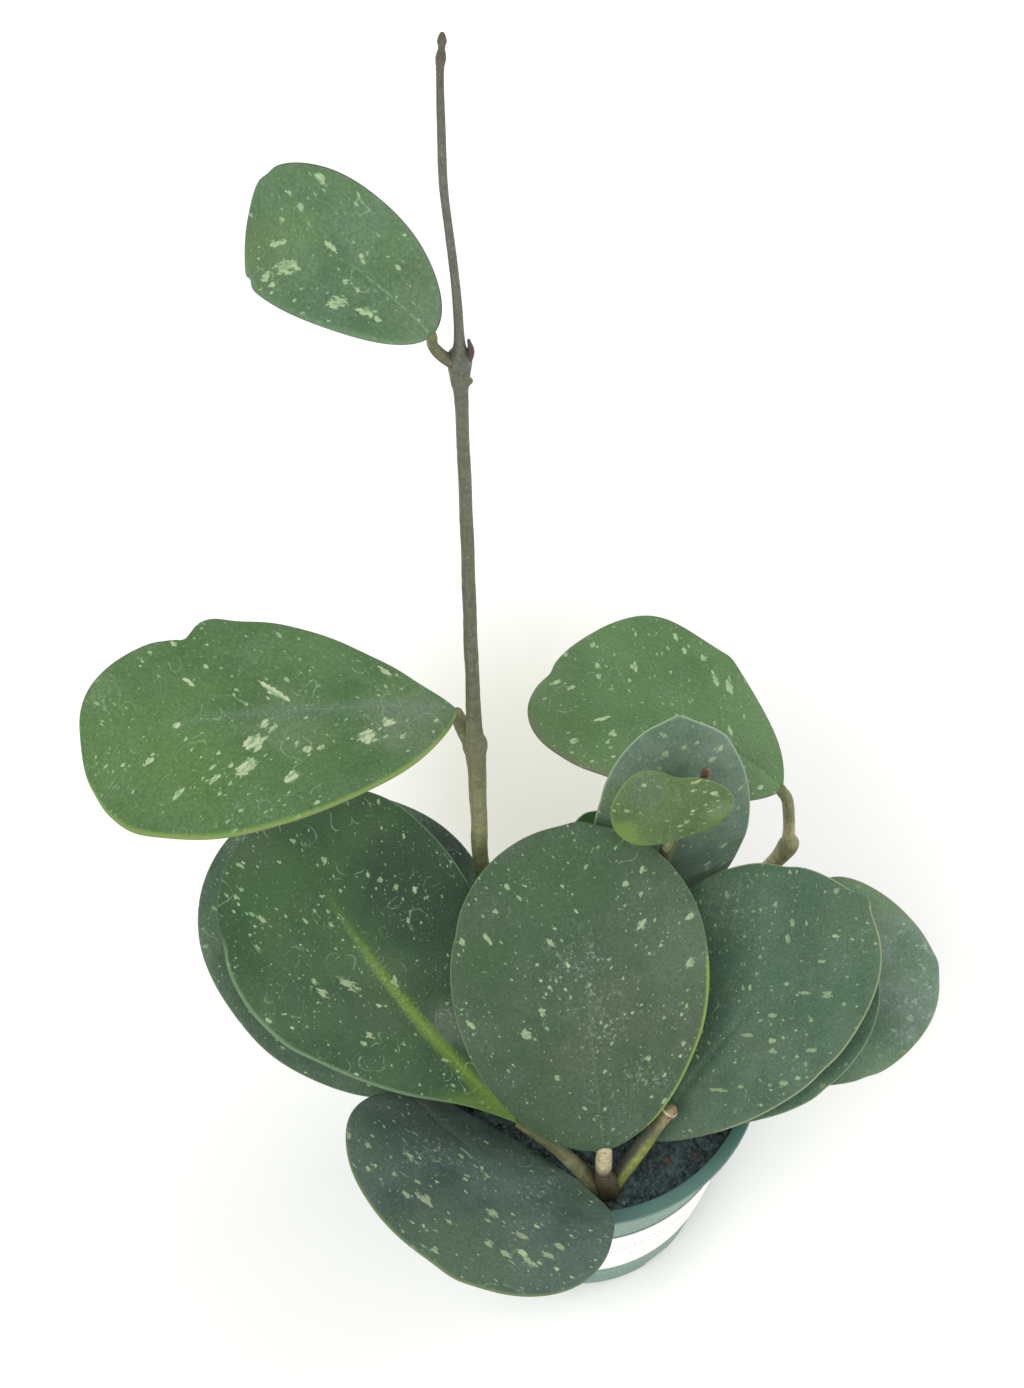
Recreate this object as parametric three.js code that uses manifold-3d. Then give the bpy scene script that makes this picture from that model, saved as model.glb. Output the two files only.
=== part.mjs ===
// Potted hoya: a teal nursery pot with soil and a blank label, and a round-leaved
// climbing plant of thirteen leaves on five stems. Millimetres, +Z up. The origin is
// the centre of the pot's underside, +X is to the right and -Y is the front.
import * as THREE from 'three';
import { mergeVertices } from 'three/addons/utils/BufferGeometryUtils.js';
import Module from 'manifold-3d';

const wasm = await Module();
wasm.setup();
const { Manifold, Mesh: SolidMesh } = wasm;
const radians = THREE.MathUtils.degToRad;

// ---- driving dimensions -------------------------------------------------------
const GAP = 0.3; // running clearance between pieces that touch

const POT = {
  height: 87.5, // floor to top of lip
  rimRadius: 52.5, // outside of the lip, a 105 mm pot
  lipWidth: 3.9, // flat top of the lip
  lipThick: 2.2,
  baseRadius: 39.6,
  shoulderRadius: 49.8, // outside of the wall just under the lip
  wall: 1.4,
  floorThick: 1.8,
  drains: 8, // slots in the corner between floor and wall
  drainStart: 38.5, // degrees round from +X to the first
  drainWidth: 9,
  drainHeight: 4,
  drainDepth: 7,
  footRound: 0.8, // bevel round the foot
  lipRound: 0.5, // bevel on the lip's edges
  sides: 48,
};

const LABEL = {
  low: 19.5, // lower edge at its middle, height above the floor
  high: 59.5, // upper edge at its middle
  from: -150, // degrees round from +X
  to: -4,
  thick: 0.6,
  steps: 28,
};

const SOIL = {
  level: 77.5, // mean height of the surface
  relief: 1.1, // heaps and hollows above and below the mean
  heapShare: 0.65, // of the relief; the rest is crumbs
  topInset: 0.4, // how much further in from the wall the top's edge is
  rings: 6,
  sides: 48,
  holeGap: 0.45, // room round each stem
};

const BLADE = {
  core: 2.2, // thickness at the midrib, a succulent leaf
  edge: 0.8, // thickness at the rim
  rows: 16, // facets from base to tip
  columns: 8, // facets from side to side
  tipReach: 3.5, // how far round the tip its small point spreads
  waveShift: 1.3, // radians by which the left edge's waves run ahead
};

const STEM = { sides: 8, stepsPerSpan: 3 };

// ---- leaves ---------------------------------------------------------------------
// at: where the blade meets its stalk. length, width: flat size of the blade.
// heading: degrees round from +X; rise: degrees above level at mid length.
// bend: droop from base to tip; sway: sideways turn; roll and twist: tilt of the
// cross direction. curl: lift of the two side edges, or their drop if negative.
// belly: below 1 puts the widest place towards the tip. baseShape, tipShape: 1 is an
// ellipse's end, less is blunter, more is sharper. lean: how much wider the left half
// is. point: length of the tip's small point. wave: lift, count and start angle of the
// edge's waves. notches: place along the leaf, side (+1 left), depth and spread.
const LEAVES = [
  {
    name: 'leaf_vine_top', at: [-36.8, 24, 377.5], length: 53.2, width: 30, heading: 139, rise: -5,
    bend: 41, sway: 13, roll: -39, twist: -9, curl: 5, belly: 0.77, baseShape: 0.78,
    tipShape: 0.78, lean: -0.03, point: 0, wave: [0.3, 2.5, 20],
    notches: [[0.86, 1, 0.7, 0.03], [0.9, -1, 0.5, 0.03]],
  },
  {
    name: 'leaf_vine_low', at: [-35, 34, 222.5], length: 97.4, width: 59.4, heading: -174, rise: 1,
    bend: 40, sway: -9, roll: -4, twist: -30, curl: 3, belly: 0.81, baseShape: 1.21,
    tipShape: 0.8, lean: 0.14, point: 0, wave: [0.6, 2, 100],
    notches: [
      [0.702, -1, 1.8, 0.022], [0.735, -1, 1.15, 0.04], [0.635, -1, -1.75, 0.055],
      [0.07, -1, 0.9, 0.05], [0.97, 1, 0.8, 0.02], [0.86, 1, -0.9, 0.06],
    ],
  },
  {
    name: 'leaf_left_upper', at: [-19, -29, 103.5], length: 113, width: 79.8, heading: 132,
    rise: 26, bend: 8, sway: -26, roll: -37, twist: -21, curl: 4, belly: 0.53,
    baseShape: 1.27, tipShape: 0.84, lean: -0.005, point: 0, wave: [0.7, 2.5, 200],
    notches: [[0.78, 1, 0.9, 0.03], [0.5, 1, -0.7, 0.05], [0.14, 1, 1.5, 0.09]],
  },
  {
    name: 'leaf_left_under', at: [-40, -11, 91.5], length: 98, width: 89, heading: 122,
    rise: 16, bend: 10, sway: -6, roll: 7, twist: 19, curl: -1.5, belly: 0.78,
    baseShape: 0.8, tipShape: 1.14, lean: 0, point: 1.5, wave: [0.5, 2, 60],
    notches: [[0.34, 1, -1.1, 0.13]],
  },
  {
    name: 'leaf_front', at: [5, -35, 99.5], length: 96, width: 72, heading: 97, rise: 44,
    bend: 22, sway: -10, roll: 1, twist: 8, curl: 3.5, belly: 0.79, baseShape: 0.91,
    tipShape: 0.98, lean: 0.05, point: 0.8, wave: [0.4, 3, 0],
    notches: [[0.72, 1, 0.5, 0.03]],
  },
  {
    name: 'leaf_rim_front', at: [-51, -17, 99], length: 75, width: 54, heading: -36, rise: 3,
    bend: 42, sway: 44, roll: -33, twist: 6, curl: -5.8, belly: 0.89, baseShape: 0.56,
    tipShape: 0.81, lean: -0.31, point: 0.3, wave: [0.3, 2, 40],
    notches: [[0.93, 1, 1.2, 0.07], [0.62, -1, -0.6, 0.05], [0.3, 1, -1.2, 0.2]],
  },
  {
    name: 'leaf_right_upper', at: [19, -27, 87.5], length: 93, width: 66, heading: 42, rise: 30,
    bend: 26, sway: -13, roll: -3, twist: -9, curl: 4.3, belly: 0.71, baseShape: 1.11,
    tipShape: 1.06, lean: 0.11, point: 2.2, wave: [0.6, 2.5, 150],
    notches: [[0.9, 1, 1.2, 0.03], [0.55, -1, 0.5, 0.05]],
  },
  {
    name: 'leaf_right_middle', at: [28, -22, 86.5], length: 76, width: 63, heading: 41,
    rise: 24, bend: 2, sway: -22, roll: -14, twist: -7, curl: 2, belly: 0.71,
    baseShape: 1.06, tipShape: 0.88, lean: 0.01, point: 1, wave: [0.4, 2, 10],
    notches: [[0.5, -1, 0.6, 0.05]],
  },
  {
    name: 'leaf_right_lower', at: [42, 12, 91.5], length: 64, width: 67, heading: 10, rise: 9,
    bend: 8, sway: -4, roll: 1, twist: -15, curl: 2.2, belly: 1, baseShape: 0.88,
    tipShape: 1.01, lean: 0.04, point: 0.5, wave: [0.6, 2.5, 80],
    notches: [[0.6, 1, 0.7, 0.05], [0.55, -1, 0.4, 0.04]],
  },
  {
    name: 'leaf_back_right', at: [56, 54, 149.5], length: 79, width: 58, heading: 152, rise: 4,
    bend: 54, sway: 0, roll: 2, twist: 9, curl: 2.8, belly: 0.61, baseShape: 0.82,
    tipShape: 0.9, lean: 0, point: -1.3, wave: [0.6, 3, 30],
    notches: [[0.96, -1, 1, 0.05], [0.4, -1, -0.6, 0.04], [0.66, 1, -1.4, 0.08]],
  },
  {
    name: 'leaf_back_upright', at: [24, 38, 100.5], length: 96, width: 46, heading: 95, rise: 84,
    bend: 19, sway: -11, roll: 8, twist: -7, curl: -0.7, belly: 1.02, baseShape: 0.8,
    tipShape: 0.92, lean: 0, point: 1.8, wave: [0.4, 2, 70],
    notches: [[0.7, 1, 0.5, 0.05], [0.95, -1, -1.2, 0.06]],
  },
  {
    name: 'leaf_young', at: [21, 24.6, 171.3], length: 24.6, width: 34, heading: 75, rise: 72,
    bend: 25, sway: -13, roll: 23, twist: -2, curl: -0.8, belly: 0.95, baseShape: 0.88,
    tipShape: 0.55, lean: -0.03, point: -1.2, wave: [0.4, 1.5, 0],
    notches: [[0.97, 1, -0.6, 0.06], [0.98, -1, 0.8, 0.05]],
  },
  {
    name: 'leaf_hidden', at: [11, 38, 114.5], length: 27, width: 24, heading: 123, rise: 43,
    bend: 9, sway: 1, roll: -3, twist: 1, curl: 1.6, belly: 0.82, baseShape: 0.87,
    tipShape: 0.85, lean: 0, point: 0.8, wave: [0.2, 2, 0],
    notches: [],
  },
];

// ---- stems ----------------------------------------------------------------------
// Each stem is one or more limbs. A limb is a list of [x, y, z, radius] along its
// middle; a wide place is a leaf joint. Limbs of one stem grow together.
const STEMS = [
  {
    name: 'stem_vine',
    limbs: [
      [
        [-16, 23, 66.5, 2.3], [-18.5, 25, 94.5, 2.3], [-24, 28, 124.5, 2.3], [-29.3, 30, 145.5, 2.3],
        [-30, 31, 177.5, 2.3], [-30.3, 30.5, 204.5, 2.6], [-30.5, 30, 212.5, 3.2],
        [-30.7, 30, 218.5, 2.3], [-30.7, 30, 233.5, 1.85], [-31, 31, 260.5, 1.7],
        [-31.2, 31, 302.5, 1.55], [-31.6, 30, 347.5, 1.45], [-31.7, 30, 356.5, 2],
        [-31.7, 30, 363.5, 2.65], [-31.7, 30, 368.5, 1.2], [-32, 30, 383.5, 0.95],
        [-33.1, 30, 400.5, 0.85], [-33.9, 30, 414.5, 0.85], [-33.9, 30, 430.5, 0.8],
        [-33.8, 30, 440.5, 0.7], [-33.6, 30, 444, 0.95], [-33.4, 30, 446.5, 0.62],
        [-33.3, 30, 448.5, 0.85], [-33.2, 30, 450, 0.5],
      ],
      [[-30.5, 30, 210.5, 2.2], [-32.6, 31, 216.5, 2], [-34.7, 33.5, 221.6, 1.7]],
      [
        [-31.8, 30, 361.5, 1.6], [-35.1, 28.7, 365.8, 1.3], [-36.9, 26.8, 371.2, 1.15],
        [-36.9, 24.7, 376.1, 1.1],
      ],
      [[-30.8, 29.8, 362, 1.2], [-29.4, 29.6, 366, 0.8], [-29.8, 29.6, 369.8, 0.3]],
      [[-30.8, 29.6, 356, 0.9], [-29.7, 29.2, 357.6, 0.7]],
    ],
  },
  {
    name: 'stem_crown',
    limbs: [
      [[6, -39, 66.5, 2.3], [8, -38, 79.5, 2.5], [21.4, -26.5, 101.8, 2.3], [23.2, -25, 104.5, 2.9]],
      [[4, -39.5, 66.5, 2], [1.5, -39, 84.5, 2.4], [-7.4, -33.6, 95.9, 2], [-18.4, -29.5, 103.1, 1.15]],
      [[5, -39, 66.5, 2.3], [5, -39, 86.5, 2.4], [5, -35.3, 98.5, 2.2]],
      [[7, -38, 66.5, 1.8], [12, -32.2, 80.5, 1.8], [18.5, -27.6, 86.9, 1.6]],
      [[6.7, -38, 66.5, 3.6], [6.7, -38, 79, 4], [6.4, -38.2, 84.5, 3.2], [6, -38.4, 88, 2.4]],
    ],
  },
  {
    name: 'stem_right',
    limbs: [
      [
        [20, 27, 66.5, 2.3], [22, 29, 82.5, 2.3], [28, 35, 94.5, 2.3], [47, 47, 100.5, 2.3],
        [57.2, 52, 110, 2.4], [60.8, 53.3, 118, 3], [60.5, 54, 122.5, 2], [59.7, 54.2, 132.5, 1.75],
        [58, 54, 143.5, 1.7], [56.3, 54, 148.5, 1.7],
      ],
      [[22, 29, 82.5, 1.9], [23.5, 33, 91.5, 1.8], [24, 37.5, 99.5, 1.8]],
    ],
  },
  {
    name: 'stem_centre',
    limbs: [
      [
        [8, 16, 66.5, 2.2], [10, 20, 102.5, 2.1], [15, 25, 134.5, 2], [21.4, 30.6, 152.5, 1.9],
        [24.2, 34, 163.5, 2], [28.6, 37, 175.5, 1.1], [30.8, 38.8, 181.5, 0.9],
        [31.4, 39.2, 183.4, 1.3], [31.6, 39.2, 185, 0.8],
      ],
      [[24, 33.5, 162.5, 1.5], [22, 28, 165.5, 1.4], [21.2, 25, 167.5, 1.3], [21, 24.6, 170.2, 1.2]],
      [[9.4, 18.8, 94.5, 1.6], [7, 25, 100.5, 1.3], [6.2, 32, 104, 1.2], [7.8, 37, 109.5, 1.1],
        [11, 37.3, 113.4, 1]],
    ],
  },
  {
    name: 'stem_left_under',
    limbs: [[[-28, -10, 66.5, 1.9], [-33, -13, 84.5, 1.9], [-39.1, -12, 90.6, 1.7]]],
  },
  {
    name: 'stem_rim_front',
    limbs: [
      [
        [-10, -2, 66.5, 1.9], [-13, 0, 90.5, 1.9], [-24, 3, 104.5, 1.8], [-38, 3, 107.5, 1.7],
        [-47.5, -6, 103.5, 1.7], [-50.9, -16, 99.3, 1.7],
      ],
    ],
  },
  {
    name: 'stem_right_middle',
    limbs: [
      [[19, -14, 66.5, 1.7], [20, -19, 78.5, 1.7], [23.5, -23.3, 83.7, 1.6], [27.4, -22.9, 85.9, 1.5]],
    ],
  },
  {
    name: 'stem_right_lower',
    limbs: [[[31, 4, 66.5, 1.8], [34, 8, 83.5, 1.8], [41.2, 11.7, 91, 1.6]]],
  },
];

// ---- materials ------------------------------------------------------------------
function paint(color, roughness, metalness = 0) {
  return new THREE.MeshStandardMaterial({ color, roughness, metalness });
}

const PAINT = {
  pot: paint(0x4f7f73, 0.42),
  label: paint(0xf1f1ee, 0.6),
  soil: paint(0x1d1917, 0.95),
  stem: paint(0x6d6a4d, 0.7),
  vine: paint(0x5c5a49, 0.7),
  leafDark: paint(0x2f5038, 0.5),
  leaf: paint(0x3f6a42, 0.48),
  leafBright: paint(0x4c8a40, 0.46),
  leafYoung: paint(0x6d9443, 0.46),
};

const LEAF_PAINT = {
  leaf_vine_top: PAINT.leafBright,
  leaf_vine_low: PAINT.leafBright,
  leaf_back_right: PAINT.leafBright,
  leaf_hidden: PAINT.leafBright,
  leaf_young: PAINT.leafYoung,
  leaf_left_under: PAINT.leafDark,
  leaf_rim_front: PAINT.leafDark,
  leaf_back_upright: PAINT.leafDark,
};

// ---- closed meshes and booleans ---------------------------------------------------
function geometryFrom(positions, triangles) {
  const geometry = new THREE.BufferGeometry();
  geometry.setAttribute('position', new THREE.Float32BufferAttribute(positions, 3));
  geometry.setIndex(triangles);
  return facingOut(geometry);
}

// Six times the signed volume; negative means that the faces point inwards.
function signedVolume(geometry) {
  const index = geometry.getIndex();
  const place = geometry.getAttribute('position');
  const [a, b, c] = [new THREE.Vector3(), new THREE.Vector3(), new THREE.Vector3()];
  let total = 0;
  for (let i = 0; i < index.count; i += 3) {
    a.fromBufferAttribute(place, index.getX(i));
    b.fromBufferAttribute(place, index.getX(i + 1));
    c.fromBufferAttribute(place, index.getX(i + 2));
    total += a.dot(b.cross(c));
  }
  return total;
}

function facingOut(geometry) {
  if (signedVolume(geometry) >= 0) return geometry;
  const index = Array.from(geometry.getIndex().array);
  for (let i = 0; i < index.length; i += 3) {
    [index[i + 1], index[i + 2]] = [index[i + 2], index[i + 1]];
  }
  geometry.setIndex(index);
  return geometry;
}

function solidOf(geometry) {
  const bare = geometry.clone();
  bare.deleteAttribute('normal');
  bare.deleteAttribute('uv');
  const merged = facingOut(mergeVertices(bare, 1e-4));
  return new Manifold(new SolidMesh({
    numProp: 3,
    vertProperties: new Float32Array(merged.getAttribute('position').array),
    triVerts: new Uint32Array(merged.getIndex().array),
  }));
}

function geometryOf(solid) {
  const mesh = solid.getMesh();
  const geometry = new THREE.BufferGeometry();
  geometry.setAttribute('position', new THREE.BufferAttribute(mesh.vertProperties, 3));
  geometry.setIndex(new THREE.BufferAttribute(mesh.triVerts, 1));
  return geometry;
}

function named(name, geometry, material) {
  const mesh = new THREE.Mesh(geometry, material);
  mesh.name = name;
  return mesh;
}

// ---- pot ------------------------------------------------------------------------
function wallRadius(height) {
  const underLip = POT.height - POT.lipThick;
  return THREE.MathUtils.lerp(POT.baseRadius, POT.shoulderRadius, height / underLip);
}

// The wall, floor and lip as one profile from the axis out, up, over and back inside.
function potShell() {
  const underLip = POT.height - POT.lipThick;
  const lipInside = POT.rimRadius - POT.lipWidth;
  const profile = [
    [0, 0],
    [POT.baseRadius - POT.footRound, 0],
    [POT.baseRadius, POT.footRound],
    [wallRadius(underLip), underLip],
    [POT.rimRadius - POT.lipRound, underLip],
    [POT.rimRadius, underLip + POT.lipRound],
    [POT.rimRadius, POT.height - POT.lipRound],
    [POT.rimRadius - POT.lipRound, POT.height],
    [lipInside + POT.lipRound, POT.height],
    [lipInside, POT.height - POT.lipRound],
    [wallRadius(underLip) - POT.wall, underLip - POT.lipRound],
    [wallRadius(POT.floorThick) - POT.wall, POT.floorThick],
    [0, POT.floorThick],
  ];
  const points = profile.map(([radius, height]) => new THREE.Vector2(radius, height));
  const lathe = new THREE.LatheGeometry(points, POT.sides);
  return lathe.rotateX(Math.PI / 2);
}

function drainSlot(turn) {
  const slot = new THREE.BoxGeometry(POT.drainDepth, POT.drainWidth, 2 * POT.drainHeight);
  slot.translate(POT.baseRadius, 0, 0);
  return solidOf(slot.rotateZ(turn));
}

function makePot() {
  let pot = solidOf(potShell());
  for (let i = 0; i < POT.drains; i += 1) {
    pot = pot.subtract(drainSlot(radians(POT.drainStart + (360 * i) / POT.drains)));
  }
  return named('pot', geometryOf(pot), PAINT.pot);
}

// ---- label ----------------------------------------------------------------------
// A straight strip laid on a cone climbs towards its ends.
function labelClimb(degrees) {
  const slope = (POT.shoulderRadius - POT.baseRadius) / POT.height;
  const away = radians(degrees - (LABEL.from + LABEL.to) / 2);
  return (POT.baseRadius / slope) * (1 - Math.cos(away * slope));
}

// A band that follows the tapered wall from one angle to another.
function makeLabel() {
  const positions = [];
  const triangles = [];
  for (let i = 0; i <= LABEL.steps; i += 1) {
    const degrees = THREE.MathUtils.lerp(LABEL.from, LABEL.to, i / LABEL.steps);
    const turn = radians(degrees);
    for (const [edge, out] of [[LABEL.low, 0], [LABEL.low, 1], [LABEL.high, 1], [LABEL.high, 0]]) {
      const height = edge + labelClimb(degrees);
      const radius = wallRadius(height) + GAP + out * LABEL.thick;
      positions.push(radius * Math.cos(turn), radius * Math.sin(turn), height);
    }
  }
  for (let i = 0; i < LABEL.steps; i += 1) {
    for (let side = 0; side < 4; side += 1) {
      const [a, b] = [4 * i + side, 4 * i + ((side + 1) % 4)];
      triangles.push(a, b, b + 4, a, b + 4, a + 4);
    }
  }
  const last = 4 * LABEL.steps;
  triangles.push(0, 3, 2, 0, 2, 1, last, last + 1, last + 2, last, last + 2, last + 3);
  return named('label', geometryFrom(positions, triangles), PAINT.label);
}

// ---- stems ------------------------------------------------------------------------
// A tapered tube: rings of a polygon carried along a smooth curve without twisting.
function limbGeometry(limb, extra = 0) {
  const middle = limb.map(([x, y, z]) => new THREE.Vector3(x, y, z));
  middle[0].z -= extra;
  const curve = new THREE.CatmullRomCurve3(middle, false, 'catmullrom', 0.5);
  const spans = limb.length - 1;
  const steps = spans * STEM.stepsPerSpan;
  const positions = [];
  const triangles = [];
  const across = new THREE.Vector3(1, 0, 0);
  for (let i = 0; i <= steps; i += 1) {
    const along = (i / steps) * spans;
    const span = Math.min(Math.floor(along), spans - 1);
    const radius = THREE.MathUtils.lerp(limb[span][3], limb[span + 1][3], along - span) + extra;
    const centre = curve.getPoint(i / steps);
    const forward = curve.getTangent(i / steps);
    across.addScaledVector(forward, -across.dot(forward)).normalize();
    const other = new THREE.Vector3().crossVectors(forward, across);
    for (let k = 0; k < STEM.sides; k += 1) {
      const turn = (2 * Math.PI * k) / STEM.sides;
      const point = centre.clone();
      point.addScaledVector(across, radius * Math.cos(turn));
      point.addScaledVector(other, radius * Math.sin(turn));
      positions.push(point.x, point.y, point.z);
    }
  }
  addTubeFaces(triangles, steps, STEM.sides);
  return geometryFrom(positions, triangles);
}

function addTubeFaces(triangles, steps, sides) {
  for (let i = 0; i < steps; i += 1) {
    for (let k = 0; k < sides; k += 1) {
      const a = i * sides + k;
      const b = i * sides + ((k + 1) % sides);
      triangles.push(a, b, b + sides, a, b + sides, a + sides);
    }
  }
  for (let k = 1; k < sides - 1; k += 1) {
    const last = steps * sides;
    triangles.push(0, k + 1, k, last, last + k, last + k + 1);
  }
}

function stemSolid(stem, extra = 0) {
  const limbs = stem.limbs.map((limb) => solidOf(limbGeometry(limb, extra)));
  return limbs.reduce((whole, limb) => whole.add(limb));
}

function makeStem(stem) {
  const material = stem.name === 'stem_vine' ? PAINT.vine : PAINT.stem;
  return named(stem.name, geometryOf(stemSolid(stem)), material);
}

// ---- soil -------------------------------------------------------------------------
// Height of the top: heaps some 30 mm across with crumbs some 10 mm across on them.
function soilHeight(x, y) {
  const heaps = Math.sin(0.21 * x + 0.6) * Math.cos(0.17 * y - 0.4);
  const crumbs = Math.sin(0.55 * x - 0.33 * y) * Math.cos(0.47 * y + 0.29 * x);
  return SOIL.level + SOIL.relief * THREE.MathUtils.lerp(crumbs, heaps, SOIL.heapShare);
}

// A plug: a heaped top of rings round a centre, a tapered side and a flat bottom.
function soilPlug() {
  const { rings, sides } = SOIL;
  const inset = POT.wall + GAP;
  const bottom = POT.floorThick + GAP;
  const positions = [0, 0, soilHeight(0, 0)];
  const triangles = [];
  for (let ring = 1; ring <= rings + 1; ring += 1) {
    for (let k = 0; k < sides; k += 1) {
      const turn = (2 * Math.PI * k) / sides;
      const isBottom = ring > rings;
      const reach = isBottom ? wallRadius(bottom) - inset : wallRadius(SOIL.level) - inset - SOIL.topInset;
      const radius = reach * Math.min(ring / rings, 1);
      const [x, y] = [radius * Math.cos(turn), radius * Math.sin(turn)];
      positions.push(x, y, isBottom ? bottom : soilHeight(x, y));
    }
  }
  for (let k = 0; k < sides; k += 1) {
    const next = (k + 1) % sides;
    triangles.push(0, 1 + k, 1 + next);
    for (let ring = 0; ring < rings; ring += 1) {
      const [a, b] = [1 + ring * sides + k, 1 + ring * sides + next];
      triangles.push(a, a + sides, b + sides, a, b + sides, b);
    }
    const floor = 1 + rings * sides;
    const hub = 1 + (rings + 1) * sides;
    triangles.push(hub, floor + next, floor + k);
  }
  positions.push(0, 0, bottom);
  return geometryFrom(positions, triangles);
}

function makeSoil() {
  let soil = solidOf(soilPlug());
  for (const stem of STEMS) {
    soil = soil.subtract(stemSolid(stem, SOIL.holeGap));
  }
  return named('soil', geometryOf(soil), PAINT.soil);
}

// ---- leaves -----------------------------------------------------------------------
const MIDRIB_STEPS = 80;

function midribDirection(leaf, t) {
  const heading = radians(leaf.heading + leaf.sway * (t - 0.5));
  const rise = radians(leaf.rise - leaf.bend * (t - 0.5));
  return new THREE.Vector3(
    Math.cos(rise) * Math.cos(heading),
    Math.cos(rise) * Math.sin(heading),
    Math.sin(rise),
  );
}

// Point on the midrib at fraction t, by adding up small steps along its direction.
function midribPoint(leaf, t) {
  const point = new THREE.Vector3(...leaf.at);
  const steps = Math.max(1, Math.round(t * MIDRIB_STEPS));
  for (let i = 0; i < steps; i += 1) {
    const direction = midribDirection(leaf, ((i + 0.5) / steps) * t);
    point.addScaledVector(direction, (leaf.length * t) / steps);
  }
  return point;
}

// Directions at fraction t: along the midrib, to the leaf's left, and out of its face.
function bladeFrame(leaf, t) {
  const along = midribDirection(leaf, t);
  const heading = radians(leaf.heading + leaf.sway * (t - 0.5));
  const level = new THREE.Vector3(-Math.sin(heading), Math.cos(heading), 0);
  const upright = new THREE.Vector3().crossVectors(along, level);
  const roll = radians(leaf.roll + leaf.twist * (t - 0.5));
  const left = level.clone().multiplyScalar(Math.cos(roll)).addScaledVector(upright, Math.sin(roll));
  const face = upright.multiplyScalar(Math.cos(roll)).addScaledVector(level, -Math.sin(roll));
  return { along, left, face };
}

// Distance from the midrib at fraction t, on side -1 to +1 of half width half.
function sideways(leaf, t, half, side) {
  let across = half * side * (1 + leaf.lean * Math.sign(side));
  for (const [place, notchSide, depth, spread] of leaf.notches) {
    if (Math.sign(side) !== notchSide) continue;
    const dip = depth * Math.exp(-(((t - place) / spread) ** 2));
    across -= notchSide * dip * side * side;
  }
  return across;
}

// Lift out of the flat: the curl grows with the square of the distance from the
// midrib, and the wave with the cube of the place between midrib and edge.
function liftAt(leaf, t, half, side, across) {
  const [height, count, start] = leaf.wave;
  const phase = 2 * Math.PI * count * t + radians(start) + (side > 0 ? BLADE.waveShift : 0);
  const fade = Math.min(1, half / (leaf.width / 4));
  const wave = height * Math.sin(phase) * Math.abs(side) ** 3 * fade;
  return leaf.curl * (across / (leaf.width / 2)) ** 2 + wave;
}

function bladeThickness(sweep, side) {
  const swell = Math.sqrt(Math.max(0, 1 - side * side) * Math.sin(sweep));
  return THREE.MathUtils.lerp(BLADE.edge, BLADE.core, swell);
}

// A point of the blade. sweep runs from 0 at the base to pi at the tip.
function bladePoint(leaf, sweep, side, face) {
  const fraction = (1 - Math.cos(sweep)) / 2;
  const t = fraction ** leaf.belly;
  const shape = THREE.MathUtils.lerp(leaf.baseShape, leaf.tipShape, fraction);
  const half = (leaf.width / 2) * Math.max(Math.sin(sweep), 0) ** shape;
  const across = sideways(leaf, t, half, side);
  const frame = bladeFrame(leaf, t);
  const fromTip = Math.hypot((1 - t) * leaf.length, across);
  const point = midribPoint(leaf, t);
  point.addScaledVector(frame.along, leaf.point * Math.exp(-((fromTip / BLADE.tipReach) ** 2)));
  point.addScaledVector(frame.left, across);
  const lift = liftAt(leaf, t, half, side, across);
  return point.addScaledVector(frame.face, lift + (face * bladeThickness(sweep, side)) / 2);
}

// One face of the blade: rows from side to side between a base point and a tip point.
function addFace(leaf, positions, face) {
  const first = positions.length / 3;
  const put = (sweep, side) => positions.push(...bladePoint(leaf, sweep, side, face).toArray());
  put(0, 0);
  for (let row = 1; row < BLADE.rows; row += 1) {
    for (let column = 0; column <= BLADE.columns; column += 1) {
      put((Math.PI * row) / BLADE.rows, (2 * column) / BLADE.columns - 1);
    }
  }
  put(Math.PI, 0);
  const wide = BLADE.columns + 1;
  const at = (row, column) => first + 1 + (row - 1) * wide + column;
  return { base: first, tip: first + 1 + (BLADE.rows - 1) * wide, at };
}

function faceTriangles(grid) {
  const triangles = [];
  for (let column = 0; column < BLADE.columns; column += 1) {
    triangles.push([grid.base, grid.at(1, column), grid.at(1, column + 1)]);
    for (let row = 1; row < BLADE.rows - 1; row += 1) {
      const [a, b] = [grid.at(row, column), grid.at(row, column + 1)];
      const [c, d] = [grid.at(row + 1, column), grid.at(row + 1, column + 1)];
      triangles.push([a, c, d], [a, d, b]);
    }
    triangles.push([grid.tip, grid.at(BLADE.rows - 1, column + 1), grid.at(BLADE.rows - 1, column)]);
  }
  return triangles;
}

function rimLoop(grid) {
  const loop = [grid.base];
  for (let row = 1; row < BLADE.rows; row += 1) loop.push(grid.at(row, 0));
  loop.push(grid.tip);
  for (let row = BLADE.rows - 1; row > 0; row -= 1) loop.push(grid.at(row, BLADE.columns));
  return loop;
}

function makeLeaf(leaf) {
  const positions = [];
  const upper = addFace(leaf, positions, 1);
  const lower = addFace(leaf, positions, -1);
  const triangles = faceTriangles(upper).flat();
  for (const [a, b, c] of faceTriangles(lower)) triangles.push(a, c, b);
  const [top, bottom] = [rimLoop(upper), rimLoop(lower)];
  for (let i = 0; i < top.length; i += 1) {
    const next = (i + 1) % top.length;
    triangles.push(top[i], bottom[i], bottom[next], top[i], bottom[next], top[next]);
  }
  return named(leaf.name, geometryFrom(positions, triangles), LEAF_PAINT[leaf.name] ?? PAINT.leaf);
}

// ---- the whole plant ----------------------------------------------------------------
const plant = new THREE.Group();
plant.add(makePot(), makeLabel(), makeSoil());
for (const stem of STEMS) plant.add(makeStem(stem));
for (const leaf of LEAVES) plant.add(makeLeaf(leaf));

export default plant;
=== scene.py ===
import itertools
from types import SimpleNamespace as Named

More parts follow.
